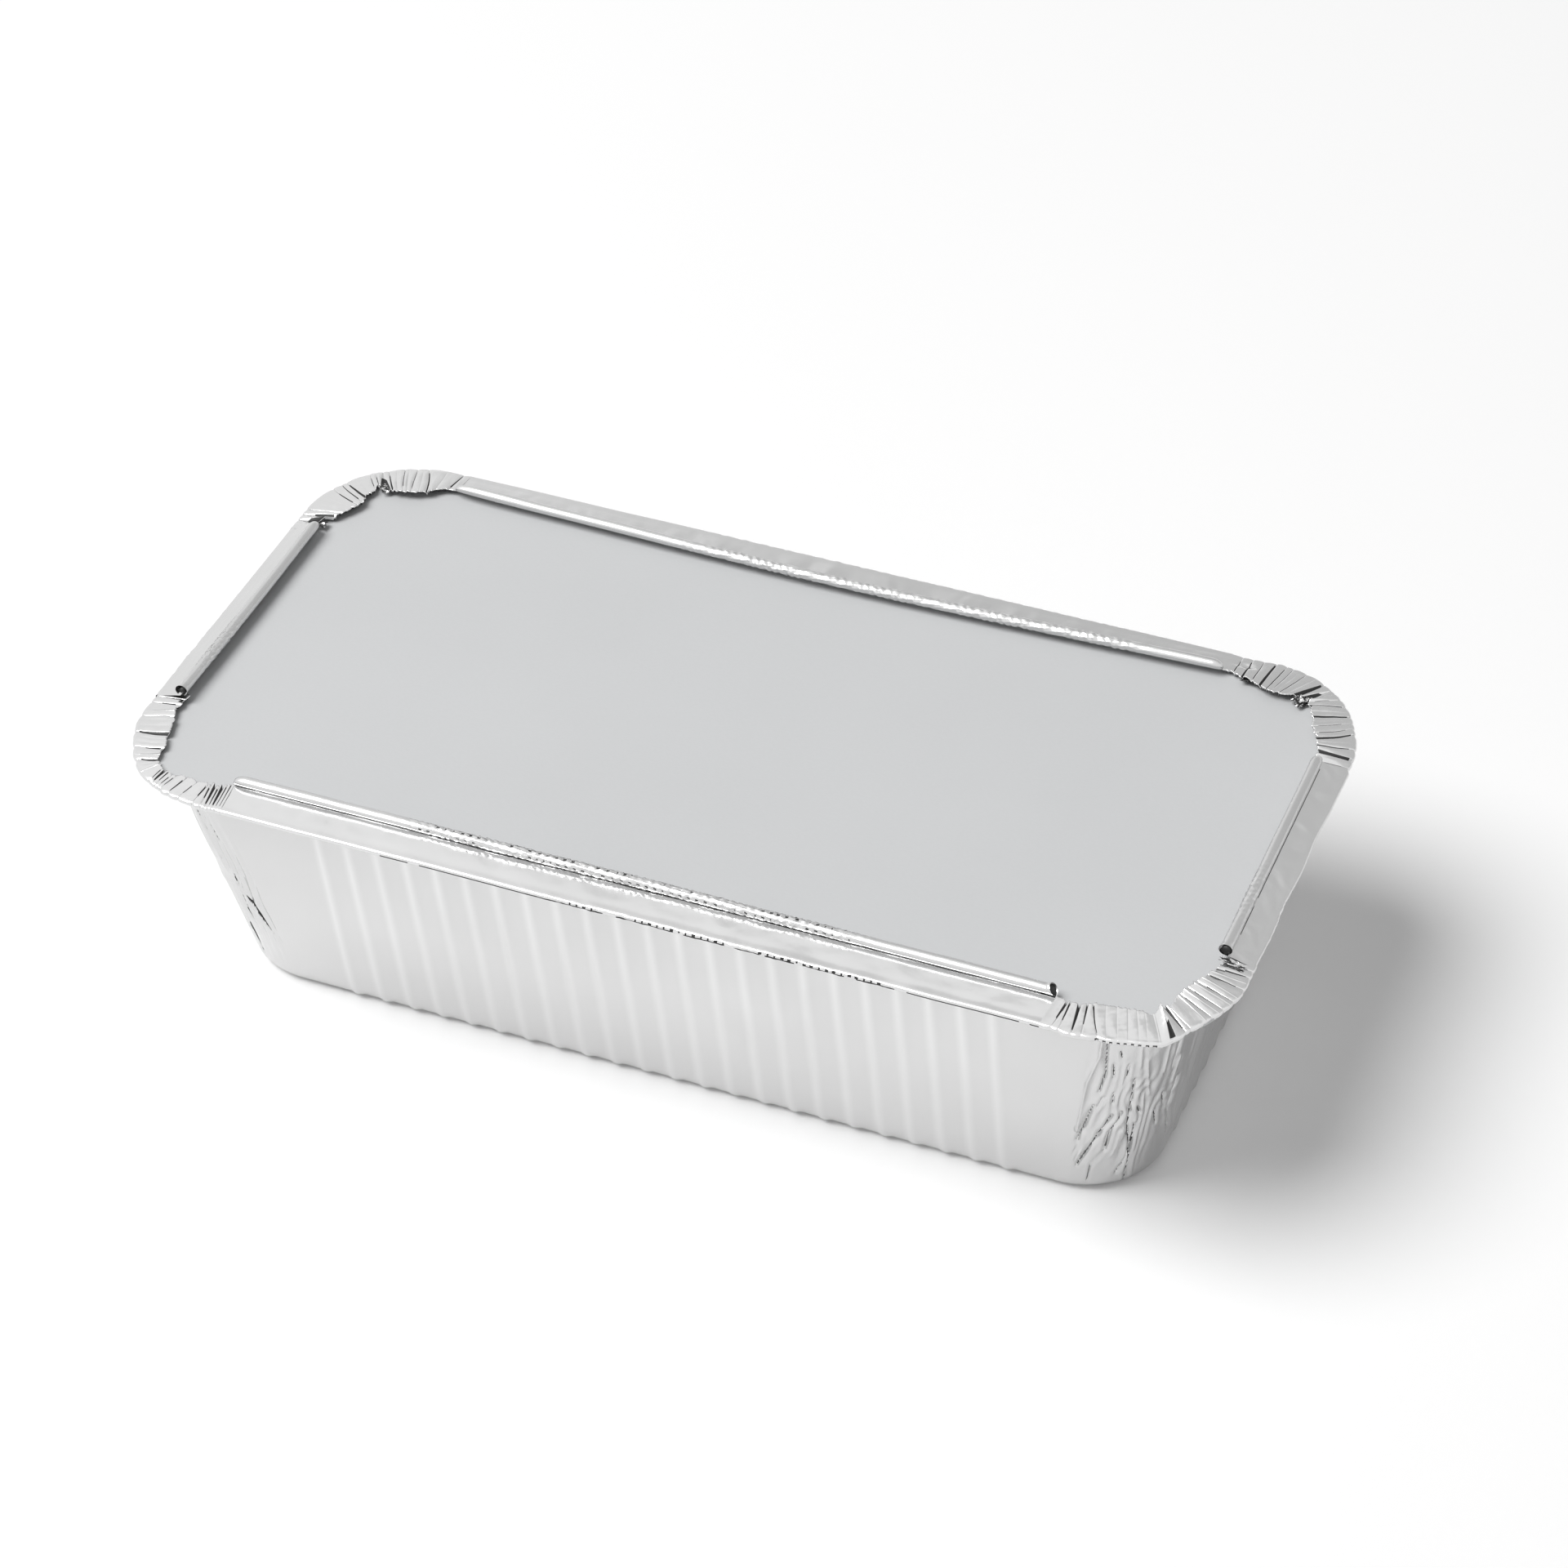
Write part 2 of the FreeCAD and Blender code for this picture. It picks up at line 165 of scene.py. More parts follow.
class Graph:
    """The node tree of a material or the world, with a short call for each thing that repeats."""

    def __init__(self, owner):
        owner.use_nodes = True
        self.nodes, self.link = owner.node_tree.nodes, owner.node_tree.links.new

    def place(self):
        return self.nodes.new("ShaderNodeTexCoord").outputs["Object"]

    def parts(self, vector):
        node = self.nodes.new("ShaderNodeSeparateXYZ")
        self.link(vector, node.inputs[0])
        return node.outputs

    def noise(self, source, scale, detail, roughness=0.5, stretch=None):
        """Noise on object coordinates; scale is in cells per metre."""
        node = self.nodes.new("ShaderNodeTexNoise")
        for socket, number in (("Scale", scale), ("Detail", detail), ("Roughness", roughness)):
            node.inputs[socket].default_value = number
        if stretch:
            mapping = self.nodes.new("ShaderNodeMapping")
            mapping.inputs["Scale"].default_value = stretch
            self.link(source, mapping.inputs["Vector"])
            source = mapping.outputs["Vector"]
        self.link(source, node.inputs["Vector"])
        return node.outputs["Fac"]

    def spread(self, value, low, high, from_low=0.3, from_high=0.7):
        """Map a value from one range onto another, held at the ends."""
        node = self.nodes.new("ShaderNodeMapRange")
        for socket, number in (("From Min", from_low), ("From Max", from_high),
                               ("To Min", low), ("To Max", high)):
            node.inputs[socket].default_value = number
        self.link(value, node.inputs["Value"])
        return node.outputs["Result"]

    def math(self, operation, *inputs):
        node = self.nodes.new("ShaderNodeMath")
        node.operation = operation
        for socket, value in zip(node.inputs, inputs):
            if isinstance(value, float):
                socket.default_value = value
            else:
                self.link(value, socket)
        return node.outputs[0]

    def ramp(self, value, *stops):
        """Colour ramp between two stops, each a position and a colour."""
        node = self.nodes.new("ShaderNodeValToRGB")
        for element, (position, colour) in zip(node.color_ramp.elements, stops):
            element.position = position
            element.color = (*colour, 1)
        self.link(value, node.inputs["Fac"])
        return node.outputs["Color"]

    def bump(self, height, strength, distance):
        node = self.nodes.new("ShaderNodeBump")
        node.inputs["Strength"].default_value = strength
        node.inputs["Distance"].default_value = distance
        self.link(height, node.inputs["Height"])
        return node


def new_material(name):
    material = bpy.data.materials.new(name)
    graph = Graph(material)
    return material, graph, graph.nodes["Principled BSDF"]


def painted_rib_highlight(graph, place, colour):
    """Painted highlight: brighter metal on one flank of each rib of the long walls."""
    x, y, z = graph.parts(place)
    phase = graph.math("MULTIPLY_ADD", x, 1000 / RIB_PITCH, 0.5 - 0.25 / RIB_PITCH)
    gap = graph.math("ABSOLUTE", graph.math("SUBTRACT", graph.math("FRACT", phase), 0.5))
    on_flank = graph.spread(gap, 1.0, 0.0, 0.02, 0.24)
    among_ribs = graph.spread(graph.math("ABSOLUTE", x), 1.0, 0.0, 0.061, 0.065)
    on_wall = graph.spread(graph.math("ABSOLUTE", y), 0.0, 1.0, 0.034, 0.036)
    below_rim = graph.spread(z, 1.0, 0.0, 0.044, 0.047)
    amount = graph.math("MULTIPLY", graph.math("MULTIPLY", on_flank, among_ribs),
                        graph.math("MULTIPLY", on_wall, below_rim))
    scaled = graph.nodes.new("ShaderNodeVectorMath")
    scaled.operation = "SCALE"
    graph.link(colour, scaled.inputs[0])
    graph.link(graph.math("MULTIPLY_ADD", amount, RIB_HIGHLIGHT, 1.0), scaled.inputs["Scale"])
    return scaled.outputs[0]


def foil_material(name, crinkle, roughness, tone, ribs=False):
    """Rolled aluminium foil: a satin metal with fine handling crinkles."""
    material, graph, shader = new_material(name)
    place = graph.place()
    shader.inputs["Metallic"].default_value = 1.0
    colour = graph.ramp(graph.noise(place, 60, 1), (0.3, [tone * 0.985] * 3), (0.7, [tone * 1.015] * 3))
    # Ribbed walls get the painted highlight on one flank of each rib.
    if ribs:
        colour = painted_rib_highlight(graph, place, colour)
    graph.link(colour, shader.inputs["Base Color"])
    haze = graph.noise(place, 90, 1)
    graph.link(graph.spread(haze, roughness * 0.92, roughness * 1.08), shader.inputs["Roughness"])
    dimples = graph.bump(graph.noise(place, 420, 2, 0.45), crinkle, 0.00012)
    grain = graph.bump(graph.noise(place, 5200, 2, 0.6), 0.12, 0.00001)
    graph.link(dimples.outputs["Normal"], grain.inputs["Normal"])
    graph.link(grain.outputs["Normal"], shader.inputs["Normal"])
    return material


def board_material(name):
    """Matt light grey coated board."""
    material, graph, shader = new_material(name)
    place = graph.place()
    shader.inputs["Roughness"].default_value = 0.62
    shader.inputs["Specular IOR Level"].default_value = 0.3
    fibre = graph.noise(place, 1500, 4, 0.6, stretch=(1.0, 2.6, 1.0))
    mixed = graph.nodes.new("ShaderNodeMix")
    mixed.data_type = "FLOAT"
    mixed.inputs[0].default_value = 0.45
    graph.link(graph.noise(place, 22, 3), mixed.inputs[2])
    graph.link(fibre, mixed.inputs[3])
    colour = graph.ramp(mixed.outputs[0], (0.32, (0.592, 0.600, 0.607)), (0.68, (0.620, 0.628, 0.635)))
    graph.link(colour, shader.inputs["Base Color"])
    graph.link(graph.bump(fibre, 0.25, 0.00002).outputs["Normal"], shader.inputs["Normal"])
    return material


WALL_FOIL = foil_material("foil_wall", crinkle=0.03, roughness=0.25, tone=0.67, ribs=True)
RIM_FOIL = foil_material("foil_rim", crinkle=0.25, roughness=0.19, tone=0.74)
# A darker and rougher copy of the rim foil, used on the beads.
BEAD_FOIL = foil_material("foil_bead", crinkle=0.4, roughness=0.27, tone=0.66)
# Near-black foil, put on faces as painted shade in slits, creases, pits, gaps and bead ends.
PAINTED_SHADE_FOIL = foil_material("foil_painted_shade", crinkle=0.3, roughness=0.5, tone=0.05)
BOARD = board_material("board")


# Tray walls

def perimeter(ring, columns):
    """Points and outward normals round a ring; columns are (side, on corner, fraction)."""
    points, normals = [], []
    for side, on_corner, fraction in columns:
        along, out = axes(side)
        run, reach = half_run(ring, side)
        if on_corner:
            angle = fraction * math.pi / 2
            normal = out * math.cos(angle) + along * math.sin(angle)
            point = along * (run - ring[2]) + out * (reach - ring[2]) + normal * ring[2]
        else:
            normal = out
            point = along * (2 * fraction - 1) * (run - ring[2]) + out * reach
        points.append(point)
        normals.append(normal)
    return np.array(points), np.array(normals)


def wall_columns(side, on_corner):
    count = 180 if on_corner else (360 if side % 2 == 0 else 144)
    return [(side, on_corner, i / count) for i in range(count + 1)]


# Creases pressed into the corner walls: points as (share of the corner, height), depth, width, and
# for some the half width of the painted shade along their bottom. A positive depth is a ridge.
WALL_CREASES = {
    0: [
        ([(0.09, 45.5), (0.10, 40.4), (0.055, 32.2), (0.06, 18.0)], 0.45, 0.8),
        ([(0.12, 45.5), (0.165, 35.2), (0.15, 29.4)], -0.45, 0.55),
        ([(0.19, 28.4), (0.16, 24.8)], -0.35, 0.5),
        ([(0.135, 25.8), (0.075, 14.8)], -0.45, 0.6),
        ([(0.235, 41.8), (0.255, 39.8)], -0.3, 0.40, 0.14), ([(0.205, 38.2), (0.23, 34.0)], -0.3, 0.45, 0.07),
        ([(0.315, 38.0), (0.32, 34.2)], -0.3, 0.40, 0.06), ([(0.255, 29.8), (0.265, 26.4)], -0.3, 0.45, 0.07),
        ([(0.46, 24.6), (0.49, 22.4)], -0.3, 0.40, 0.14), ([(0.655, 26.4), (0.69, 22.6)], -0.3, 0.45, 0.07),
        ([(0.80, 16.8), (0.86, 10.8)], -0.35, 0.5, 0.09), ([(0.215, 8.0), (0.215, 2.4)], -0.3, 0.40, 0.05),
        ([(0.115, 12.0), (0.095, 9.0)], 0.35, 0.6), ([(0.44, 38.6), (0.53, 27.4)], 0.22, 0.45),
        ([(0.375, 42.6), (0.405, 36.6)], 0.2, 0.45), ([(0.29, 37.4), (0.295, 32.4)], 0.2, 0.4),
        ([(0.74, 35.6), (0.725, 28.0)], 0.25, 0.5), ([(0.485, 28.4), (0.50, 23.6)], 0.2, 0.45),
        ([(0.345, 10.4), (0.365, 13.4), (0.37, 17.8)], 0.35, 0.9), ([(0.60, 41.0), (0.61, 33.0)], 0.2, 0.45),
        ([(0.285, 23.0), (0.215, 17.0), (0.115, 7.2)], -0.5, 0.6),
        ([(0.345, 23.8), (0.34, 21.8), (0.3, 18.4), (0.295, 12.2)], -0.45, 0.55),
        ([(0.385, 33.4), (0.415, 19.6), (0.495, 9.4), (0.515, 1.8)], -0.5, 0.6),
        ([(0.465, 19.8), (0.485, 14.0), (0.48, 10.0), (0.425, 4.8)], -0.45, 0.55),
        ([(0.625, 21.2), (0.67, 16.8)], -0.35, 0.5, 0.08),
        ([(0.79, 28.4), (0.765, 20.0), (0.84, 12.8)], -0.4, 0.6),
        ([(0.70, 44.0), (0.69, 33.0)], -0.25, 0.5),
        ([(0.93, 40.0), (0.90, 24.0), (0.93, 10.0)], -0.3, 0.7),
    ],
    3: [
        ([(0.66, 44.0), (0.69, 39.8), (0.70, 34.0), (0.70, 26.4)], -0.35, 0.45, 0.17),
        ([(0.78, 39.2), (0.795, 35.6)], -0.3, 0.45, 0.10), ([(0.79, 27.2), (0.785, 23.8)], -0.3, 0.40, 0.20),
        ([(0.815, 22.8), (0.85, 20.0), (0.885, 17.4), (0.93, 12.6)], -0.35, 0.45, 0.31),
        ([(0.775, 22.0), (0.765, 18.2), (0.745, 14.4)], -0.3, 0.45, 0.20),
        ([(0.66, 13.4), (0.66, 7.6), (0.65, 3.0)], -0.3, 0.45, 0.17),
        ([(0.32, 44.0), (0.25, 30.0), (0.315, 23.8)], -0.55, 0.5),
        ([(0.50, 43.0), (0.53, 30.0), (0.47, 20.0)], -0.45, 0.5),
        ([(0.58, 22.0), (0.60, 10.0)], -0.5, 0.5),
        ([(0.88, 27.0), (0.84, 14.0)], -0.25, 0.5),
        ([(0.10, 26.0), (0.16, 12.0)], -0.4, 0.6),
        ([(0.40, 20.0), (0.36, 4.0)], -0.4, 0.5),
    ],
}


def generic_creases(seed):
    """Creases for a corner that the photograph does not show, in the same style."""
    rng = np.random.default_rng(seed)
    lines = []
    for i in range(13):
        at = (i + 0.5) / 13 + rng.uniform(-0.03, 0.03)
        top, length = rng.uniform(20, 45), rng.uniform(5, 17)
        bend = rng.uniform(-0.05, 0.05)
        foot = at + bend * 0.6 + rng.uniform(-0.03, 0.03)
        line = [(at, top), (at + bend, top - length / 2), (foot, max(top - length, 2))]
        lines.append((line, -rng.uniform(0.28, 0.5), rng.uniform(0.45, 0.65)))
    return lines


WALL_CREASES[1] = generic_creases(21)
WALL_CREASES[2] = generic_creases(57)

# Gathers of each corner wall: how far they wander and how deep they are. One corner is crumpled finer.
GATHER_PITCH = 1.68
CORNER_GATHERS = {0: (3.0, 0.10), 1: (1.3, 0.16), 2: (1.3, 0.16), 3: (1.3, 0.16)}
CRUMPLED_CORNER = 0


def crease_gap(across, up, line):
    """Distance in millimetres from a crease drawn as a broken line."""
    points = [(share * CORNER_WIDTH, height) for share, height in line]
    nearest = np.full(np.broadcast(across, up).shape, 1e9)
    for (x0, y0), (x1, y1) in zip(points, points[1:]):
        dx, dy = x1 - x0, y1 - y0
        f = np.clip(((across - x0) * dx + (up - y0) * dy) / (dx * dx + dy * dy), 0, 1)
        nearest = np.minimum(nearest, np.hypot(across - x0 - f * dx, up - y0 - f * dy))
    return nearest


def between_ends(up, line, low, high):
    """1 between the foot and the head of a crease and 0 well past them."""
    foot, head = min(height for _, height in line), max(height for _, height in line)
    return smooth(low, high, up - foot) * smooth(low, high, head - up)


def crease_depth(across, up, line, depth, width):
    """Push of one crease: a sharp trough with slightly raised shoulders, fading past its ends."""
    nearest = crease_gap(across, up, line)
    trough = np.exp(-nearest / (0.5 * width))
    shoulders = 0.32 * np.exp(-((nearest - 1.4 * width) / width) ** 2)
    return 1.3 * depth * between_ends(up, line, -2.0, 1.0) * (trough - shoulders)


def shaded_crease_faces(side, across, up):
    """Faces along the bottoms of the deeper creases of a corner wall, painted dark as shade."""
    crease_shade = np.zeros(across.shape, bool)
    for number, (line, depth, _, *half) in enumerate(WALL_CREASES[side]):
        reach = half[0] if half else CREASE_SHADE_HALF_WIDTH * (depth <= DEEP_CREASE)
        uneven = 0.45 + 1.1 * value_noise(up / 2.5, across * 0 + number * 3.7, 90 + side)
        crease_shade |= crease_gap(across, up, line) < reach * between_ends(up, line, -0.6, 2.0) * uneven
    return crease_shade


def between(height, foot, head):
    """Fades a push in over the lowest part of the wall and out below the ledge."""
    return smooth(0, foot, height) * smooth(LEDGE, LEDGE - head, height)


def flat_push(side, at, height):
    """Outward push of a flat wall: its ribs, and a slight unevenness of the sheet between them."""
    count, shift = RIBS[side]
    phase = (at - shift) / RIB_PITCH + (count - 1) / 2
    nearest = np.clip(np.round(phase), 0, count - 1)
    gap = (phase - nearest) * RIB_PITCH
    profile = np.cos(np.clip(gap / RIB_WIDTH, -0.5, 0.5) * math.pi) ** 2
    uneven = 0.85 + 0.3 * value_noise(nearest * 1.7, np.full(gap.shape, side * 3.3), 5)
    window = smooth(LEDGE - 3.0, LEDGE - 6.0, height) * (0.80 + 0.20 * smooth(0.0, 2.5, height))
    wave = value_noise(at / 30, np.full(at.shape, height / 18 + 7 * side), 11) - 0.5
    fine = crumple(at, np.full(at.shape, height), 14.0, 31 + side) * 0.006
    run = half_run(WALL_TOP, side)[0] - WALL_TOP[2]
    ends = smooth(run, run - 14, np.abs(at) + 0.09 * (LEDGE - height))
    return RIB_HEIGHT * profile * uneven * window + (0.3 * wave + fine) * ends * between(height, 8, 6)


def corner_push(side, share, height):
    """Outward push of a corner wall: gathers, crumpled foil and creases."""
    across = share * CORNER_WIDTH
    warp_size, gather_size = CORNER_GATHERS[side]
    up = np.full(share.shape, height)
    edge = smooth(0, 0.04, share) * smooth(1, 0.96, share)
    body = smooth(0.5, 14, height) * smooth(LEDGE - 1, 24, height)
    warp = warp_size * (value_noise(across / 5, up / 7, 60 + side) - 0.5)
    gathers = np.cos(2 * math.pi * (across + warp) / GATHER_PITCH)
    strength = 0.03 + gather_size * value_noise(across / 4, up / 9, 70 + side)
    push = gathers * strength * body * edge
    push += 0.07 * crumple(across, up * 0.45, 4.5, 80 + side) * edge \
        * smooth(1, 8, height) * smooth(LEDGE, LEDGE - 8, height)
    if side == CRUMPLED_CORNER:
        push += 0.055 * crumple(across, up * 0.4, 1.9, 84, 4) * smooth(0.2, 0.4, share) * edge \
            * smooth(3, 12, height) * smooth(LEDGE, LEDGE - 6, height)
    for line, depth, width, *_ in WALL_CREASES[side]:
        push += crease_depth(across, up, line, depth, width) * edge * between(height, 3, 2.5)
    return push


def make_wall(side, on_corner):
    """One flat wall or one round corner wall, from the heel to the bend under the rim."""
    columns = wall_columns(side, on_corner)
    along, _ = axes(side)
    share = np.array([fraction for _, _, fraction in columns])
    top, normal = perimeter(WALL_TOP, columns)
    base, _ = perimeter(BASE, columns)
    slope = (top - base) / LEDGE
    rows = []

    def add(xy, z, strength):
        height = float(np.mean(z))
        push = 0.0 * share
        if strength:
            push = corner_push(side, share, height) if on_corner else flat_push(side, xy @ along, height)
            push = strength * push
        rows.append(np.column_stack([xy + normal * push[:, None], np.broadcast_to(z, len(xy))]))

    rise = HEEL / np.sqrt(1 + (slope ** 2).sum(1))
    for f in np.linspace(0, 1, 9)[:-1]:
        z = f * f * rise
        scallop = 0.65 + 0.35 * f + 0.45 * math.sin(math.pi * f)
        add(base - normal * HEEL * (1 - f) ** 2 + slope * z[:, None], z, scallop)
    for f in np.linspace(0, 1, 120 if on_corner else 56):
        z = rise + (LEDGE - LEDGE_BEND - rise) * f
        add(base + slope * z[:, None], z, 1.0)
    for f in np.linspace(0, 1, 6)[1:]:
        drop = LEDGE_BEND * (1 - f) ** 2
        add(top - slope * drop + normal * LEDGE_BEND * f * f, LEDGE - drop, 0.0)
    grid = np.array(rows)
    if not on_corner:
        return sheet(f"foil_wall_{side}", grid, False, WALL_FOIL)
    height = (grid[:-1, :, 2].mean(1) + grid[1:, :, 2].mean(1)) / 2
    across, up = np.meshgrid((share[:-1] + share[1:]) / 2 * CORNER_WIDTH, height)
    return sheet(f"foil_corner_wall_{side}", grid, False, WALL_FOIL, shaded_crease_faces(side, across, up))


def make_base():
    """The base inside the heel, with slight waves that lift it off the table."""
    columns = [(s, c, i / 30) for s in range(4) for c in (False, True) for i in range(30)]
    ring, normal = perimeter(BASE, columns)
    edge = ring - normal * HEEL
    rows = []
    for f in np.linspace(1, 0, 26):
        xy = edge * f
        lift = 0.25 * (value_noise(xy[:, 0] / 25, xy[:, 1] / 25, 3) - 0.3) * smooth(1, 0.85, f)
        lift += 0.05 * (crumple(xy[:, 0], xy[:, 1], 14, 4) + 1) * smooth(1, 0.9, f)
        rows.append(np.column_stack([xy, np.maximum(lift, 0)]))
    return sheet("foil_base", np.array(rows), True, WALL_FOIL)


# Straight rims

FOLD_STEPS = 9


def round_fold():
    """Half circle from the ledge to the flange as (distance in from the outline, height)."""
    angles = np.radians(np.linspace(-90, 90, FOLD_STEPS))
    return [(FOLD_RADIUS * (1 - math.cos(a)), LEDGE + FOLD_RADIUS * (1 + math.sin(a))) for a in angles]


# Each side: where its bead starts and ends, depth and rise of its flange, lengths over which the ends
# taper (0 for an open end), how far it bows in, and the stretch of the bead that is dented. Some also
# have dents in the fold with painted dark nicks, a painted shadow line under the fold, ends cut back,
# pits partly painted dark as shade, a wavy fold, a rough flange, a small dark hole of painted shade at
# the end, or a painted shadow in the slot along the bead.
SIDE_RIMS = {
    0: dict(span=(-75.4, 72.4), depth=6.6, rise=0.95, taper=(2.6, 0.0), bow=0.2, dents=(-42, 38),
            fold_dents=(-16, 46), under=(-45, 74), cut=1.3, pits=1.0),
    1: dict(span=(-26.9, 27.6), depth=5.2, rise=1.15, taper=(0.0, 2.5), bow=0.0, dents=(-20, -4),
            cut=0.2, wavy=0.45, rough=0.2, slot=(-25.0, 25.5)),
    2: dict(span=(-71.8, 76.0), depth=6.6, rise=0.95, taper=(2.0, 5.0), bow=1.7, dents=(-58, 29),
            pits=0.4),
    3: dict(span=(-26.3, 27.9), depth=5.2, rise=1.15, taper=(2.5, 0.0), bow=0.15, dents=(5, 22),
            cut=0.3, hole=0.5),
}
PIT_PITCH, PIT_DEPTH = 1.55, 0.20
# Rows of faces of a rim that can be painted dark as shade: low on its fold, higher on its fold, and where the
# flange meets the bead.
UNDER_ROWS, NICK_ROWS, SLOT_ROW = slice(7, 9), slice(9, 11), 28
# Turns of the bead, in degrees, with a row of pits, and how near a pit its faces are painted dark as shade.
PIT_TURNS, PIT_SPREAD = (80, 135, 175, 250), 10.5


def stretch(station, low, high):
    """1 over a stretch of the rim, fading out round both its ends."""
    return smooth(low - 6, low + 8, station) * smooth(high + 6, high - 8, station)


def cut_back(spec, station, level):
    """How far the open ends of a bead are cut back at a level of its round, 0 at the bottom."""
    low, high = spec["span"]
    slide = np.zeros(len(station))
    if not spec["taper"][0]:
        slide = slide + spec["cut"] * level * smooth(2.5, 0, station - low)
    if not spec["taper"][1]:
        slide = slide - spec["cut"] * level * smooth(2.5, 0, high - station)
    return slide


def bead_radius(spec, station, seed):
    """Radius of a bead along it: blunt where its end is pressed down, a little wider at an open end."""
    low, high = spec["span"]
    radius = BEAD_RADIUS + 0.06 * (value_noise(station / 6, station * 0, seed) - 0.5)
    widening = np.ones(len(station))
    for length, gap in ((spec["taper"][0], station - low), (spec["taper"][1], high - station)):
        if length:
            radius = radius * (0.30 + 0.70 * np.sqrt(1 - (1 - np.clip(gap / length, 0, 1)) ** 2))
        else:
            widening = widening * (1 + 0.14 * smooth(1.6, 0, gap))
    return radius * widening


def make_side_rim(side):
    """One straight rim: ledge, fold, flange and bead, with its dents, and painted shade in its slits, nicks,
    pits and under its fold.
    """
    spec = SIDE_RIMS[side]
    low, high = spec["span"]
    along, out = axes(side)
    reach = half_run(RIM, side)[1]
    seed = 100 + 10 * side
    station = np.linspace(low, high, int((high - low) / 0.3) + 1)
    bow = spec["bow"] * np.sin(math.pi * (station - low) / (high - low))
    sway = 0.25 * (value_noise(station / 22, station * 0, seed) - 0.5)
    dents = stretch(station, *spec["dents"])
    fold_dents = stretch(station, *spec.get("fold_dents", spec["dents"]))
    edge = spec.get("wavy", 0.14) * (value_noise(station / 9, station * 0 + 4, seed) - 0.5)
    rows = []

    def add(inward, height, slide=0.0):
        inward = np.broadcast_to(inward, len(station))
        height = np.broadcast_to(height, len(station))
        xy = (station + slide)[:, None] * along + (reach - inward)[:, None] * out
        rows.append(np.column_stack([xy, height]))

    for inward in np.linspace(WALL_TOP_GAP, FOLD_RADIUS + 0.3, 5):
        add(inward, LEDGE)
    for step, (inward, height) in enumerate(round_fold()):
        nick = crumple(station, station * 0 + step * 0.35, 1.5, seed + 3, 4)
        add(inward + edge + 0.16 * fold_dents * nick, height)

    depth, rise = spec["depth"] + bow + sway, spec["rise"]
    levels = np.linspace(0, 1, 20)[1:]
    # The narrow row is where the slot under the bead gets its painted shadow.
    levels[14] = 0.45 * levels[14] + 0.55 * levels[15]  # a narrow row for the slot
    for v in levels:
        rough = spec.get("rough", 0.07) * crumple(station, station * 0 + v * 6, 4.0, seed + 5)
        buckled = 0.16 * crumple(station, station * 0 + v * 6, 12.0, seed + 6, 4)
        wrinkle = (rough + buckled) * math.sin(math.pi * v)
        inward = FOLD_RADIUS + (depth - FOLD_RADIUS) * v
        add(inward, FOLD_TOP + rise * v + wrinkle - TROUGH * math.exp(-((v - 0.16) / 0.11) ** 2))

    radius = bead_radius(spec, station, seed + 7)
    centre_up = FOLD_TOP + rise + BEAD_FLAT * radius
    wrap = 1.025 + 0.04 * value_noise(station / 7, station * 0, seed + 13)
    pit_size = spec.get("pits", 0)
    bead_from = len(rows) + 2
    shaded_pits = []
    for step, turn in enumerate(np.linspace(0, BEAD_TURN, 33)[1:]):
        angle = np.radians(270 - turn * wrap)
        nick = crumple(station, station * 0 + step * 0.33, 0.7, seed + 9, 3)
        local = radius * (1 - 0.08 * turn / BEAD_TURN) * (1 + dents * 0.17 * nick)
        local = local + 0.03 * crumple(station, station * 0 + step * 0.4, 5.0, seed + 11)
        for number, pit_turn in enumerate(PIT_TURNS):
            wander = 0.9 * value_noise(station / 5, station * 0 + number * 9, seed + 15)
            phase = station / PIT_PITCH + wander
            pits = smooth(0.1, 0.8, np.cos(2 * math.pi * phase)) * pit_size
            local = local - PIT_DEPTH * dents * pits * math.exp(-((turn - pit_turn) / 17) ** 2)
            if abs(turn - pit_turn) < PIT_SPREAD * pit_size:
                shaded_pits.append((len(rows), number, dents * pits > 0.5))
        add(depth - local * np.cos(angle), centre_up + BEAD_FLAT * local * np.sin(angle),
            cut_back(spec, station, (1 + np.sin(angle)) / 2))

    middle = (station[:-1] + station[1:]) / 2
    low_under, high_under = spec.get("under", (0, 0))
    low_slot, high_slot = spec.get("slot", (0, 0))
    under = value_noise(middle / 3, middle * 0, seed + 17) > 0.25
    slot = value_noise(middle / 4, middle * 0 + 6, seed + 16) > 0.2
    nicks = smooth(0.2, 0.7, np.cos(2 * math.pi * middle / 1.3)) * (fold_dents[1:] > 0.5)
    shaded_nicks = nicks * value_noise(middle / 4, middle * 0 + 2, seed + 18) > 0.35
    # Painted shade: a line under the fold, nicks in the fold, the slot under the bead's edge and the deepest
    # pits.
    shades = np.full((len(rows) - 1, len(middle)), OWN)
    shades[bead_from:] = DARKER_BEAD
    shades[UNDER_ROWS] = np.where((middle > low_under) & (middle < high_under) & under, PAINTED_SHADE, OWN)
    shades[SLOT_ROW] = np.where((middle > low_slot) & (middle < high_slot) & slot, PAINTED_SHADE, OWN)
    shades[NICK_ROWS] = np.where((low_under < high_under) & shaded_nicks, PAINTED_SHADE, OWN)
    for row, number, here in shaded_pits:
        kept = value_noise(middle / 2.2, middle * 0 + number * 5, seed + 19) > 0.35
        shades[row - 1][here[:-1] & kept] = PAINTED_SHADE
    return sheet(f"foil_rim_{side}", np.array(rows), False, RIM_FOIL, shades)


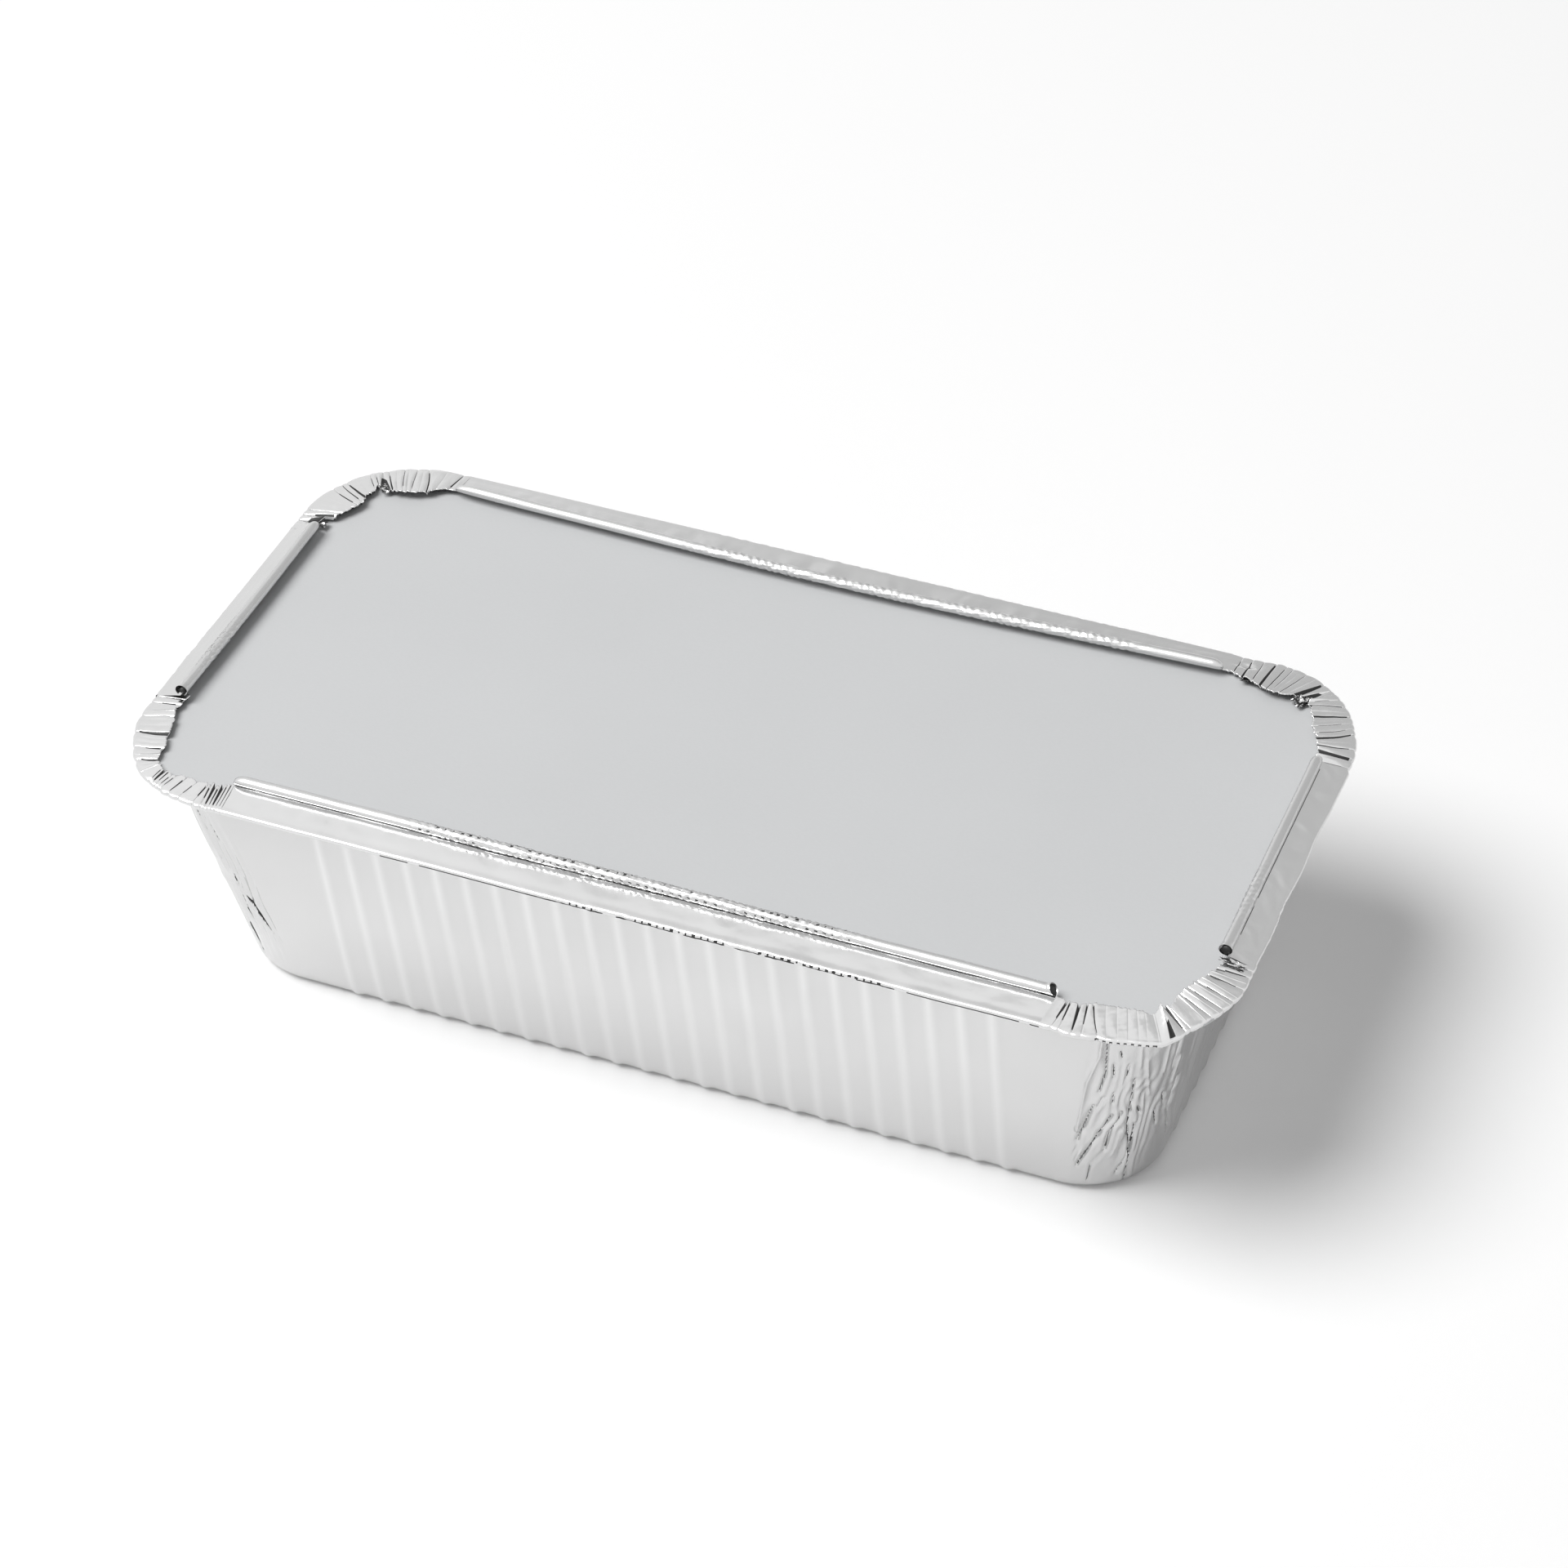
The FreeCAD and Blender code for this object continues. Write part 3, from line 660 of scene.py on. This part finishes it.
def make_bead_end_shade():
    """Near-black plugs just inside the open ends of the rolled beads: painted shade for their hollow inside.
    """
    grids = []
    turns = np.linspace(0, 2 * math.pi, 15)[:-1]
    for side, spec in SIDE_RIMS.items():
        along, out = axes(side)
        reach = half_run(RIM, side)[1]
        low, high = spec["span"]
        ends = [(low + 0.12, 2.0)] * (not spec["taper"][0]) + [(high - 0.12, -2.0)] * (not spec["taper"][1])
        for at, length in ends:
            rows = []
            back = spec["cut"] * math.copysign(0.5, length)
            for radius, shift in ((0.0, 0.0), (spec.get("hole", 0.9), 0.0), (0.60, length)):
                inward = spec["depth"] + radius * np.cos(turns)
                height = FOLD_TOP + spec["rise"] + BEAD_FLAT * (1.02 + radius * np.sin(turns))
                station = at + shift + back * (1 + radius * np.sin(turns))
                xy = station[:, None] * along + (reach - inward)[:, None] * out
                rows.append(np.column_stack([xy, height]))
            grids.append(np.array(rows))
    return joined([sheet(f"core_{i}", grid, True, PAINTED_SHADE_FOIL) for i, grid in enumerate(grids)], "bead_end_painted_shade")


# Pleated corners

# Creases as (place at the fold, place at the lip, kind, lip height left, lip height right), places in
# mm round the outline from where the corner's curve begins. Kinds: k slit, K wide slit, d crease, f faint
# crease, r bright ridge, w and m wide gap, n torn notch; all but f and r are painted dark inside as shade,
# k and K black. "lip" is how deep the flange reaches, "fold" how far in the fold is, "dots" where the
# fold has a row of dents painted dark as shade, "shade" where the rolled-under lip is painted dark as
# shade, "tilt" how far the pleats lean, "pleat" how deep they notch the fold, and "dents" round dents
# as (place, distance in, half length, half width, depth).
CORNERS = {
    0: dict(
        creases=[
            (-7.4, -6.6, "f", 0.0, 0.0), (-5.5, -4.7, "d", 0.25, -0.1), (-4.2, -4.1, "d", 0.2, 0.0),
            (-2.0, -2.6, "k", 0.2, -0.2), (-0.4, -1.4, "d", 0.1, -0.1), (2.2, -0.6, "d", 0.2, 0.3),
            (3.8, 2.3, "f", 0.1, 0.1), (5.6, 5.0, "f", 0.0, 0.05), (7.3, 7.5, "f", 0.1, 0.0),
            (9.1, 9.6, "f", 0.05, 0.1), (10.4, 11.3, "f", 0.0, 0.0), (12.4, 13.2, "r", -0.4, -0.4),
            (14.6, 15.5, "w", 1.5, 0.1), (17.2, 16.4, "k", -0.2, 0.0), (18.3, 17.2, "d", 0.3, -0.1),
            (21.7, 21.3, "r", 0.15, 0.15), (23.0, 22.2, "d", -0.1, -0.1), (24.7, 23.8, "r", 0.3, 0.3),
            (25.8, 25.3, "d", -0.05, -0.05), (27.6, 27.4, "r", 0.3, 0.3), (28.5, 28.7, "d", -0.1, -0.1),
            (29.7, 30.4, "r", 0.2, 0.2), (32.0, 32.2, "d", -0.1, -0.05), (33.6, 33.4, "r", 0.15, 0.15),
            (35.1, 34.6, "d", 0.0, 0.1), (36.8, 35.8, "k", 0.2, -0.1), (38.6, 38.0, "f", 0.0, 0.0)],
        lip=[(-7, 6.6), (-4.8, 5.8), (-1.4, 6.6), (3.9, 7.1), (9.4, 6.5), (13.1, 5.2), (15.5, 6.3),
             (17.2, 6.0), (21.1, 7.5), (26.3, 7.9), (30.6, 6.8), (34.6, 5.8), (36.7, 4.9), (38.5, 5.2)],
        fold=[(-8, 0.0), (-5.2, -0.2), (-2.2, -0.6), (2.2, 0.1), (7.5, -0.1), (12.5, -1.1), (14.5, -0.9),
              (18, 0.3), (21.1, 0.7), (26.7, 0.4), (31.9, 0.0), (37.4, -0.1), (39, 0.0)], dots=(1.0, 12.5)),
    1: dict(
        creases=[
            (-5.9, -5.9, "f", 0.0, 0.0), (-3.0, -4.0, "d", 0.1, -0.1), (-0.7, -1.6, "m", 0.75, -0.3),
            (2.3, 0.2, "k", 0.1, -0.1), (4.2, 1.3, "f", 0.05, 0.05), (6.6, 2.6, "K", 0.1, -0.1),
            (8.3, 4.9, "d", 0.1, 0.0), (10.0, 7.6, "d", 0.15, 0.05), (10.9, 9.8, "f", 0.1, 0.1),
            (11.8, 11.9, "K", 0.1, -0.1), (13.0, 14.2, "f", 0.0, 0.1), (14.7, 16.7, "K", 0.4, -0.2),
            (17.0, 18.3, "d", 0.0, -0.1), (18.8, 18.9, "d", 0.5, -0.5), (20.0, 20.3, "n", -0.6, -0.6),
            (22.0, 22.0, "K", -0.4, 0.3), (24.0, 24.0, "f", 0.2, 0.1), (26.0, 25.6, "d", 0.15, 0.1),
            (27.3, 26.9, "f", 0.1, 0.1), (28.7, 28.1, "d", 0.2, 0.0), (30.0, 29.8, "k", 0.3, -0.1),
            (32.0, 32.4, "K", 0.3, -0.1), (34.2, 34.4, "d", 0.1, 0.0), (36.2, 36.4, "k", 0.1, -0.3),
            (38.1, 38.2, "d", 0.0, 0.0), (40.2, 40.2, "f", 0.0, 0.0)],
        lip=[(-6, 5.2), (-2.1, 6.2), (3, 7.4), (7.5, 8.0), (14.5, 7.2), (17.4, 6.4), (19.6, 5.4), (20.8, 4.6),
             (21.7, 6.6), (23.4, 8.4), (25.0, 9.3), (27.8, 9.6), (31.7, 9.5), (33.6, 8.5), (35.4, 7.3),
             (37.0, 6.8), (39.6, 6.4), (41.0, 6.6)],
        fold=[(-6, 0.0), (-1, -0.1), (3.8, 0.3), (8.3, 0.5), (12.5, 0.3), (19, 0.0), (25, -0.2), (31, -0.2),
              (35, 0.2), (38, 0.3), (41, 0.1)],
        shade=(16.5, 36.5), dents=[(36.6, 3.2, 1.7, 0.8, 0.4)]),
    2: dict(
        creases=[
            (-3.2, -3.2, "f", 0.0, 0.0), (-1.8, -1.5, "d", 0.0, 0.15), (1.5, 0.8, "f", 0.1, 0.1),
            (5.1, 3.0, "k", 0.25, -0.1), (6.2, 5.6, "f", 0.1, 0.1), (7.3, 8.3, "d", 0.15, 0.05),
            (9.0, 9.6, "f", 0.1, 0.0), (9.8, 11.0, "d", 0.2, 0.1), (11.4, 12.6, "f", 0.1, 0.1),
            (12.9, 13.9, "d", 0.3, -0.4), (14.1, 15.2, "n", -0.4, -0.4), (15.6, 16.6, "d", -0.4, 0.1),
            (16.7, 18.3, "d", 0.1, 0.0), (19.4, 20.6, "f", 0.1, 0.1), (21.8, 22.8, "k", 0.25, -0.1),
            (23.0, 25.2, "d", 0.2, 0.0), (25.0, 27.5, "d", 0.15, 0.0), (27.6, 29.6, "f", 0.1, 0.1),
            (30.4, 31.4, "f", 0.05, 0.1), (33.0, 33.0, "d", 0.1, 0.2), (34.6, 34.2, "d", 0.6, -0.3),
            (36.4, 36.2, "n", 0.8, -0.2), (37.7, 37.6, "r", 0.3, 0.3), (39.3, 39.3, "f", 0.0, 0.0)],
        lip=[(-4.5, 6.6), (-1.9, 6.6), (0, 7.6), (3.0, 9.4), (8.3, 9.8), (13.1, 9.2), (14.4, 8.0),
             (15.2, 4.8), (16.4, 4.8), (18.2, 6.5), (22.8, 7.9), (24.9, 8.9), (28.1, 8.8), (31.9, 8.0),
             (34.5, 6.9), (35.6, 4.6), (37.0, 4.3), (39.3, 5.2)],
        fold=[(-4, 0.1), (5, 0.2), (12, 0.3), (16, 0.1), (22, 0.3), (29, 0.1), (35, 0.0), (39.5, 0.0)],
        shade=(-4, 34.5)),
    3: dict(
        creases=[
            (-5.4, -5.4, "f", 0.0, 0.0), (-3.4, -3.2, "d", 0.1, 0.2), (-1.7, -1.6, "d", 0.25, 0.0),
            (1.2, 0.1, "r", 0.3, 0.3), (2.4, 2.2, "d", -0.05, -0.05), (3.5, 4.0, "f", 0.05, 0.05),
            (5.2, 6.4, "f", 0.0, 0.1), (7.1, 9.5, "K", 0.3, -0.1), (8.4, 11.4, "f", 0.05, 0.05),
            (9.8, 13.0, "f", 0.05, 0.0), (11.3, 14.5, "d", 0.05, 0.0), (13.5, 16.2, "r", 0.35, 0.35),
            (15.1, 17.5, "k", 0.2, -0.2), (16.8, 18.0, "f", 0.15, 0.15), (18.6, 18.9, "r", 0.3, 0.3),
            (21.4, 20.5, "d", 0.2, 0.1), (22.1, 21.3, "k", 0.2, -0.1), (22.9, 22.3, "d", 0.2, 0.1),
            (23.7, 23.4, "d", 0.1, 0.1), (24.4, 24.3, "d", 0.0, 0.0), (26.3, 26.6, "d", 0.2, -0.1),
            (28.5, 29.5, "d", 0.1, 0.1), (31.5, 32.2, "d", 0.25, 0.0), (33.2, 32.9, "d", 0.2, 0.0),
            (34.0, 33.7, "k", 0.3, -0.1), (34.7, 34.4, "d", 0.1, 0.0), (35.3, 35.0, "k", 0.2, -0.1),
            (35.9, 35.7, "d", 0.1, 0.1), (36.5, 36.3, "d", 0.0, 0.0), (37.0, 36.8, "f", 0.0, 0.0)],
        lip=[(-5.4, 5.2), (-4.6, 6.3), (-2.7, 6.0), (-0.9, 5.8), (1.8, 6.4), (4.5, 6.9), (9.2, 6.8),
             (10.5, 6.2), (13.5, 5.6), (16.1, 4.6), (17.0, 3.7), (18.7, 3.3), (20.7, 3.5), (23.8, 3.8),
             (26.1, 4.6), (29.7, 4.7), (32.8, 5.0), (34.7, 5.4), (36.6, 6.4)],
        fold=[(-5.4, 0.0), (4, 0.1), (10, 0.2), (15, -0.1), (18.6, -0.3), (21.9, -0.3), (26, -0.2),
              (30, 0.1), (34, -0.4), (37, 0.0)],
        shade=(-5.4, 16.5), tilt=0.4, pleat=0.36),
}
# Kinds of crease: width, drop, how wide it is at the fold against the lip, and the part that is painted
# dark as shade, as shares of the way from the fold to the lip.
KINDS = {"k": (0.50, -0.60, 0.35, 0.10, 1.0), "K": (1.05, -0.90, 0.35, 0.04, 1.0),
         "d": (0.24, -0.22, 0.35, 0.10, 0.9), "f": (0.30, -0.04, 0.35, 2.0, 0.0),
         "r": (0.34, 0.16, 0.35, 2.0, 0.0), "w": (0.45, -0.60, 2.6, 0.0, 0.55),
         "n": (1.70, -1.00, 0.10, 0.42, 1.0), "m": (1.70, -1.10, 0.60, 0.05, 1.0)}
# A crease that drops less than this doesn't notch the edges.
SHALLOW = -0.1
# The flange of a corner rises inwards by this much a millimetre, and its lip rolls under in these
# steps down and back.
FLANGE_SLOPE = 0.16
LIP_ROLL = ((0.06, 0.05), (0.16, 0.03), (0.28, -0.06), (0.44, -0.12), (0.64, -0.30))
# Rows of faces where the dots of the fold are painted dark as shade, and their pitch.
DOT_ROWS, DOT_PITCH = slice(7, 10), 1.15


def corner_points(side, t, inward):
    """Plan position at t mm round the outline of the corner after a side, some way in from it."""
    along, out = axes(side)
    run, reach = half_run(RIM, side)
    radius = RIM[2]
    centre = along * (run - radius) + out * (reach - radius)
    angle = np.clip(t, 0, ARC) / radius
    direction = np.cos(angle)[..., None] * out + np.sin(angle)[..., None] * along
    before, after = np.minimum(t, 0)[..., None], np.maximum(t - ARC, 0)[..., None]
    return centre + direction * (radius - inward)[..., None] + before * along - after * out


def make_corner(side):
    """One pleated corner of the rim, from the ledge round the fold to the lip rolled under."""
    spec = CORNERS[side]
    creases = spec["creases"]
    seed = 300 + 20 * side
    last = len(creases) - 1
    columns = []  # (crease before the column, share of the way to the next crease, bottom of a crease)
    for i, (a, b) in enumerate(zip(creases, creases[1:])):
        width = (abs(b[0] - a[0]) + abs(b[1] - a[1])) / 2
        columns.append((i, 0.0, True))
        columns += [(i, u, False) for u in np.linspace(0, 1, max(int(width / 0.15), 5))]
    columns.append((last, 0.0, True))
    index, share, bottom = (np.array(column) for column in zip(*columns))
    following = np.minimum(index + 1, last)
    fold_at, lip_at = (np.array([crease[n] for crease in creases]) for n in (0, 1))
    left, right = (spec.get("tilt", 0.6) * np.array([crease[n] for crease in creases]) for n in (3, 4))
    width, drop, flared, shade_from, shade_to = np.array([KINDS[crease[2]] for crease in creases]).T.copy()
    rng = np.random.default_rng(seed)
    steps = rng.uniform(-0.25, 0.25, len(creases))
    for i, crease in enumerate(creases):
        if crease[2] == "d":
            shade_from[i], shade_to[i] = rng.uniform(0.02, 0.35), rng.uniform(0.75, 1.0)

    def columns_at(v):
        """Places of the columns round the outline, some share of the way from the fold to the lip."""
        here = fold_at + (lip_at - fold_at) * v
        half = width / 2 * (flared + (1 - flared) * v)
        start, finish = here[index] + half[index], here[following] - half[following]
        return np.where(bottom, here[index], start + (finish - start) * share)

    at_lip, at_fold = columns_at(1.0), columns_at(0.0)
    inner = smooth(at_lip[0], at_lip[0] + 1.5, at_lip) * smooth(at_lip[-1], at_lip[-1] - 1.5, at_lip)
    ragged = (0.26 * crumple(at_lip, at_lip * 0, 1.0, seed + 1, 3)
              + 0.16 * crumple(at_lip, at_lip * 0, 0.45, seed + 9, 3)) * inner
    nick = np.where(bottom & (drop[index] < SHALLOW), -0.8 * np.abs(drop[index]), 0.0)
    notch = np.minimum.reduce([np.abs(at_fold - at) / 0.5 for at in fold_at[drop < SHALLOW]])
    pleat = np.exp(-notch) * spec.get("pleat", 0.26)
    low_dots, high_dots = spec.get("dots", (0, 0))
    dots = smooth(low_dots, low_dots + 1, at_fold) * smooth(high_dots, high_dots - 1, at_fold) \
        * smooth(0.1, 0.6, np.cos(2 * math.pi * at_fold / DOT_PITCH))
    lip_in = np.interp(at_lip, *np.array(spec["lip"]).T)
    lip_in = lip_in + ragged + (nick + np.where(bottom, 0.0, steps[index])) * inner
    fold_in = np.interp(at_fold, *np.array(spec["fold"]).T)
    fold_in = fold_in + (pleat + 0.10 * crumple(at_fold, at_fold * 0 + 3, 2.5, seed + 2, 4)) * inner
    tilt = np.where(bottom, np.minimum(left, right)[index] + drop[index],
                    right[index] * (1 - share) + left[following] * share)
    swell = np.where(bottom, 0.0, np.sin(math.pi * share) * 0.05)
    rows = []

    def add(t, inward, height):
        rows.append(np.column_stack([corner_points(side, t, inward), np.broadcast_to(height, len(t))]))

    for f in np.linspace(0, 1, 5):
        inward = WALL_TOP_GAP + (fold_in + FOLD_RADIUS + 0.3 - WALL_TOP_GAP) * f
        add(at_fold, inward, LEDGE + 0.05 * f * crumple(at_fold, inward, 2.0, seed + 4) * inner)
    for step, (inward, height) in enumerate(round_fold()):
        level = step / (FOLD_STEPS - 1)
        lift = (0.30 * tilt * level + 0.06 * crumple(at_fold, at_fold * 0 + level, 1.8, seed + 5)) * inner
        under = math.exp(-((step - 2.6) / 1.2) ** 2)
        add(at_fold, fold_in + inward + 0.30 * dots * under, height + lift * 0.6)
    first_level = len(rows)
    levels = np.linspace(0, 1, 32)[1:]
    for v in levels:
        t = columns_at(v)
        inward = (fold_in + FOLD_RADIUS) * (1 - v) + lip_in * v
        depth = inward - fold_in - FOLD_RADIUS
        fine = 0.07 * crumple(t, inward, 3.2, seed + 6, 5) + 0.012 * crumple(t, inward, 1.0, seed + 7, 4)
        raised = tilt * (0.18 + 0.82 * v ** 0.8) + swell * math.sin(math.pi * v) + fine
        height = FOLD_TOP + FLANGE_SLOPE * depth + raised * inner
        for dent_t, dent_in, long, wide, deep in spec.get("dents", ()):
            height = height - deep * np.exp(-((t - dent_t) / long) ** 2 - ((inward - dent_in) / wide) ** 2)
        height = np.maximum(height, LID_TOP + 0.05)
        add(t, inward, height)
    for down, back in LIP_ROLL:
        add(t, inward + back, np.maximum(height - down, LID_TOP + 0.02))

    # Painted shade: under the rolled lip, in the dots of the fold, and along the slits and creases.
    shades = np.full((len(rows) - 1, len(index) - 1), OWN)
    low_shade, high_shade = spec.get("shade", (0, 0))
    # Noise that breaks up the painted shade under the lip.
    rolled = value_noise(t[:-1] / 1.3, t[:-1] * 0, seed + 8) > 0.2
    shades[-2:] = np.where((t[:-1] > low_shade) & (t[:-1] < high_shade) & rolled, PAINTED_SHADE, OWN)
    shades[DOT_ROWS] = np.where((dots[:-1] + dots[1:]) / 2 > 0.4, PAINTED_SHADE, OWN)
    slit = bottom[:-1] | bottom[1:]
    crease = np.where(bottom[:-1], index[:-1], index[1:])
    for row, v in enumerate(levels):
        dark = slit & (v > shade_from[crease]) & (v <= shade_to[crease])
        shades[first_level + row - 1] = np.where(dark, PAINTED_SHADE, OWN)
    return sheet(f"foil_corner_{side}", np.array(rows), False, RIM_FOIL, shades)


# Torn and crushed bits of the rim: side, place round the corner, depth, width, length, height, size,
# seed and how much of it is painted dark as the shade in the gaps of the tear.
SCRAPS = [
    (1, 20.6, 6.6, 3.4, 3.6, 51.75, 0.55, 5, 0.06), (1, 18.9, 7.4, 1.6, 2.4, 51.6, 0.5, 9, 0.12),
    (1, 34.8, 7.5, 3.4, 1.2, 51.8, 0.35, 13, 0.25), (2, 15.4, 6.6, 3.0, 3.0, 51.8, 0.55, 17, 0.0),
    (2, 36.9, 5.4, 1.9, 1.8, 51.9, 0.4, 25, 0.35), (0, 36.6, 3.6, 1.4, 4.2, 52.15, 0.3, 29, -0.25),
]


def make_scraps():
    """The small torn and crushed bits of foil in the notches of the corners, partly painted dark as shade."""
    parts = []
    for side, t0, inward0, wide, deep, z0, size, seed, shade_share in SCRAPS:
        a, b = np.meshgrid(np.linspace(-0.5, 0.5, 15), np.linspace(-0.5, 0.5, 15))
        rough = 1 + 0.25 * crumple(a * 3 + seed, b * 3, 0.9, seed, 3)
        plan = corner_points(side, t0 + a * wide * rough, inward0 + b * deep * rough)
        height = z0 + size * crumple(a * wide, b * deep, 1.3, seed, 5) + 0.16 * b * deep
        height = np.maximum(height, LID_TOP + 0.05)
        # Faces painted dark as the shade in the gaps of the tear.
        torn = crumple(a * wide + 5, b * deep, 0.8, seed + 3, 3)[1:, 1:] < shade_share
        grid = np.concatenate([plan, height[..., None]], axis=2)
        part = sheet(f"scrap_{seed}", grid, False, RIM_FOIL, np.where(torn, PAINTED_SHADE, OWN))
        part.data.polygons.foreach_set("use_smooth", np.zeros(len(part.data.polygons), bool))
        parts.append(part)
    return joined(parts, "foil_torn_bits")


# Lid

def make_lid():
    """The flat board plate, very slightly wavy on top."""
    columns = []
    for side in range(4):
        count = 60 if side % 2 == 0 else 30
        columns += [(side, False, i / count) for i in range(count)]
        columns += [(side, True, i / 24) for i in range(24)]
    ring, normal = perimeter(LID, columns)
    rows = [np.column_stack([ring * 0, np.full(len(ring), LID_BOTTOM)])]
    for inset, z in ((8, LID_BOTTOM), (LID_EDGE, LID_BOTTOM), (0, LID_BOTTOM + LID_EDGE),
                     (0, LID_TOP - LID_EDGE), (LID_EDGE, LID_TOP)):
        rows.append(np.column_stack([ring - normal * inset, np.full(len(ring), z)]))
    for f in np.linspace(1, 0, 30)[1:]:
        xy = (ring - normal * LID_EDGE) * f
        wave = 0.10 * (value_noise(xy[:, 0] / 45 + 9, xy[:, 1] / 45, 2) - 0.5) * smooth(1, 0.85, f)
        rows.append(np.column_stack([xy, LID_TOP + wave]))
    return sheet("board_lid_visual", np.array(rows), True, BOARD)


foil_pieces = [make_wall(side, on_corner) for side in range(4) for on_corner in (False, True)]
foil_pieces.append(make_base())
foil_pieces += [make_side_rim(side) for side in range(4)]
foil_pieces += [make_corner(side) for side in range(4)]
foil_pieces += [make_bead_end_shade(), make_scraps()]
for piece in foil_pieces:
    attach(piece, "root")
    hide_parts("foil_tray")
lid = make_lid()
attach(lid, "root")
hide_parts("board_lid")


# Floor, light, camera. Lengths here are metres.

FLOOR_HALF, FLOOR_LEVEL, FLOOR_GLOW = 4.0, -0.00005, 0.05
WORLD_FILL = 0.30
CARD_HALF, CARD_PLACE, CARD_GLOW = (1.9, 0.80), (0.0, 1.3, 0.95), 0.62
KEY_PLACE, KEY_SIZE, KEY_POWER = (-1.35, -0.96, 2.632), 2.16, 88.0
# The camera fitted to the photograph: angles in degrees, the point of the table that it looks at, its
# distance, and its focal length in pixels of the square frame.
AZIMUTH, ELEVATION, ROLL = 21.3, 39.115, 0.129
LOOK_AT, DISTANCE = (-0.01157, 0.04791, 0.0), 0.86296
FOCAL_PIXELS, FRAME_PIXELS, SENSOR = 5610.96, 1920, 36.0


def plate(name, half_long, half_wide, material):
    """Flat rectangle round its own origin."""
    mesh = bpy.data.meshes.new(name)
    corners = [(a * half_long, b * half_wide, 0) for a, b in ((-1, -1), (1, -1), (1, 1), (-1, 1))]
    mesh.from_pydata(corners, [], [(0, 1, 2, 3)])
    mesh.materials.append(material)
    obj = bpy.data.objects.new(name, mesh)
    bpy.context.scene.collection.objects.link(obj)
    return obj


def stand(obj, place, right, up, back):
    """Put an object somewhere with its own three axes along the given ones."""
    matrix = Matrix.Identity(4)
    for row in range(3):
        matrix[row] = (right[row], up[row], back[row], place[row])
    obj.matrix_world = matrix


def make_floor():
    """White floor that keeps the shadow; the camera sees it a little brighter than it is lit."""
    material, graph, shader = new_material("floor")
    shader.inputs["Roughness"].default_value = 0.9
    shader.inputs["Specular IOR Level"].default_value = 0.0
    tone = graph.ramp(graph.noise(graph.place(), 8, 2), (0.0, [0.965] * 3), (1.0, [0.975] * 3))
    graph.link(tone, shader.inputs["Base Color"])
    seen = graph.nodes.new("ShaderNodeLightPath").outputs["Is Camera Ray"]
    shader.inputs["Emission Color"].default_value = (1, 1, 1, 1)
    graph.link(graph.math("MULTIPLY", seen, FLOOR_GLOW), shader.inputs["Emission Strength"])
    floor = plate("floor", FLOOR_HALF, FLOOR_HALF, material)
    floor.location.z = FLOOR_LEVEL
    return floor


def make_world():
    """White for what the camera and metal see, a softer fill for everything else."""
    world = bpy.data.worlds.new("studio")
    graph = Graph(world)
    fill, seen = graph.nodes["Background"], graph.nodes.new("ShaderNodeBackground")
    for background, strength in ((fill, WORLD_FILL), (seen, 1.0)):
        background.inputs["Color"].default_value = (1, 1, 1, 1)
        background.inputs["Strength"].default_value = strength
    path = graph.nodes.new("ShaderNodeLightPath").outputs
    either = graph.math("MAXIMUM", path["Is Camera Ray"], path["Is Glossy Ray"])
    mix = graph.nodes.new("ShaderNodeMixShader")
    graph.link(graph.math("MAXIMUM", either, path["Is Transmission Ray"]), mix.inputs[0])
    graph.link(fill.outputs[0], mix.inputs[1])
    graph.link(seen.outputs[0], mix.inputs[2])
    graph.link(mix.outputs[0], graph.nodes["World Output"].inputs["Surface"])
    bpy.context.scene.world = world


def aim(obj, place, target):
    place, target = np.array(place, float), np.array(target, float)
    back = (place - target) / np.linalg.norm(place - target)
    right = np.cross((0, 0, 1), back)
    right /= np.linalg.norm(right)
    stand(obj, place, right, np.cross(back, right), back)


def make_lamp():
    data = bpy.data.lights.new("key", "AREA")
    data.shape = "DISK"
    data.size = KEY_SIZE
    data.energy = KEY_POWER
    lamp = bpy.data.objects.new("key", data)
    bpy.context.scene.collection.objects.link(lamp)
    aim(lamp, KEY_PLACE, (0, 0, 0.03))


def make_card():
    """Grey studio card behind the object, lighter at its top and left, that only metal reflects."""
    material, graph, shader = new_material("card")
    graph.nodes.remove(shader)
    x, y, _ = graph.parts(graph.place())
    up = graph.spread(y, 0.0, 0.12, 0.1, 0.7)
    left = graph.spread(x, 0.0, 0.32, 0.3, 0.85)
    glow = graph.nodes.new("ShaderNodeEmission")
    strength = graph.math("ADD", graph.math("ADD", up, left), CARD_GLOW)
    graph.link(strength, glow.inputs["Strength"])
    graph.link(glow.outputs[0], graph.nodes["Material Output"].inputs["Surface"])
    card = plate("card", *CARD_HALF, material)
    aim(card, CARD_PLACE, (0, 0, 0.05))
    card.visible_camera = False
    card.visible_shadow = False
    card.visible_diffuse = False
    return card


def make_camera():
    azimuth, elevation, roll = (math.radians(angle) for angle in (AZIMUTH, ELEVATION, ROLL))
    back = np.array((math.sin(azimuth) * math.cos(elevation), -math.cos(azimuth) * math.cos(elevation),
                     math.sin(elevation)))
    right = np.array((math.cos(azimuth), math.sin(azimuth), 0))
    up = np.cross(back, right)
    right, up = (right * math.cos(roll) + up * math.sin(roll), up * math.cos(roll) - right * math.sin(roll))
    data = bpy.data.cameras.new("camera")
    data.sensor_width = SENSOR
    data.lens = FOCAL_PIXELS / FRAME_PIXELS * SENSOR
    data.clip_start, data.clip_end = 0.01, 50
    camera = bpy.data.objects.new("camera", data)
    bpy.context.scene.collection.objects.link(camera)
    stand(camera, np.array(LOOK_AT) + back * DISTANCE, right, up, back)
    bpy.context.scene.camera = camera


make_floor()
make_card()
make_world()
make_lamp()
make_camera()
bpy.context.scene.view_settings.view_transform = "Standard"
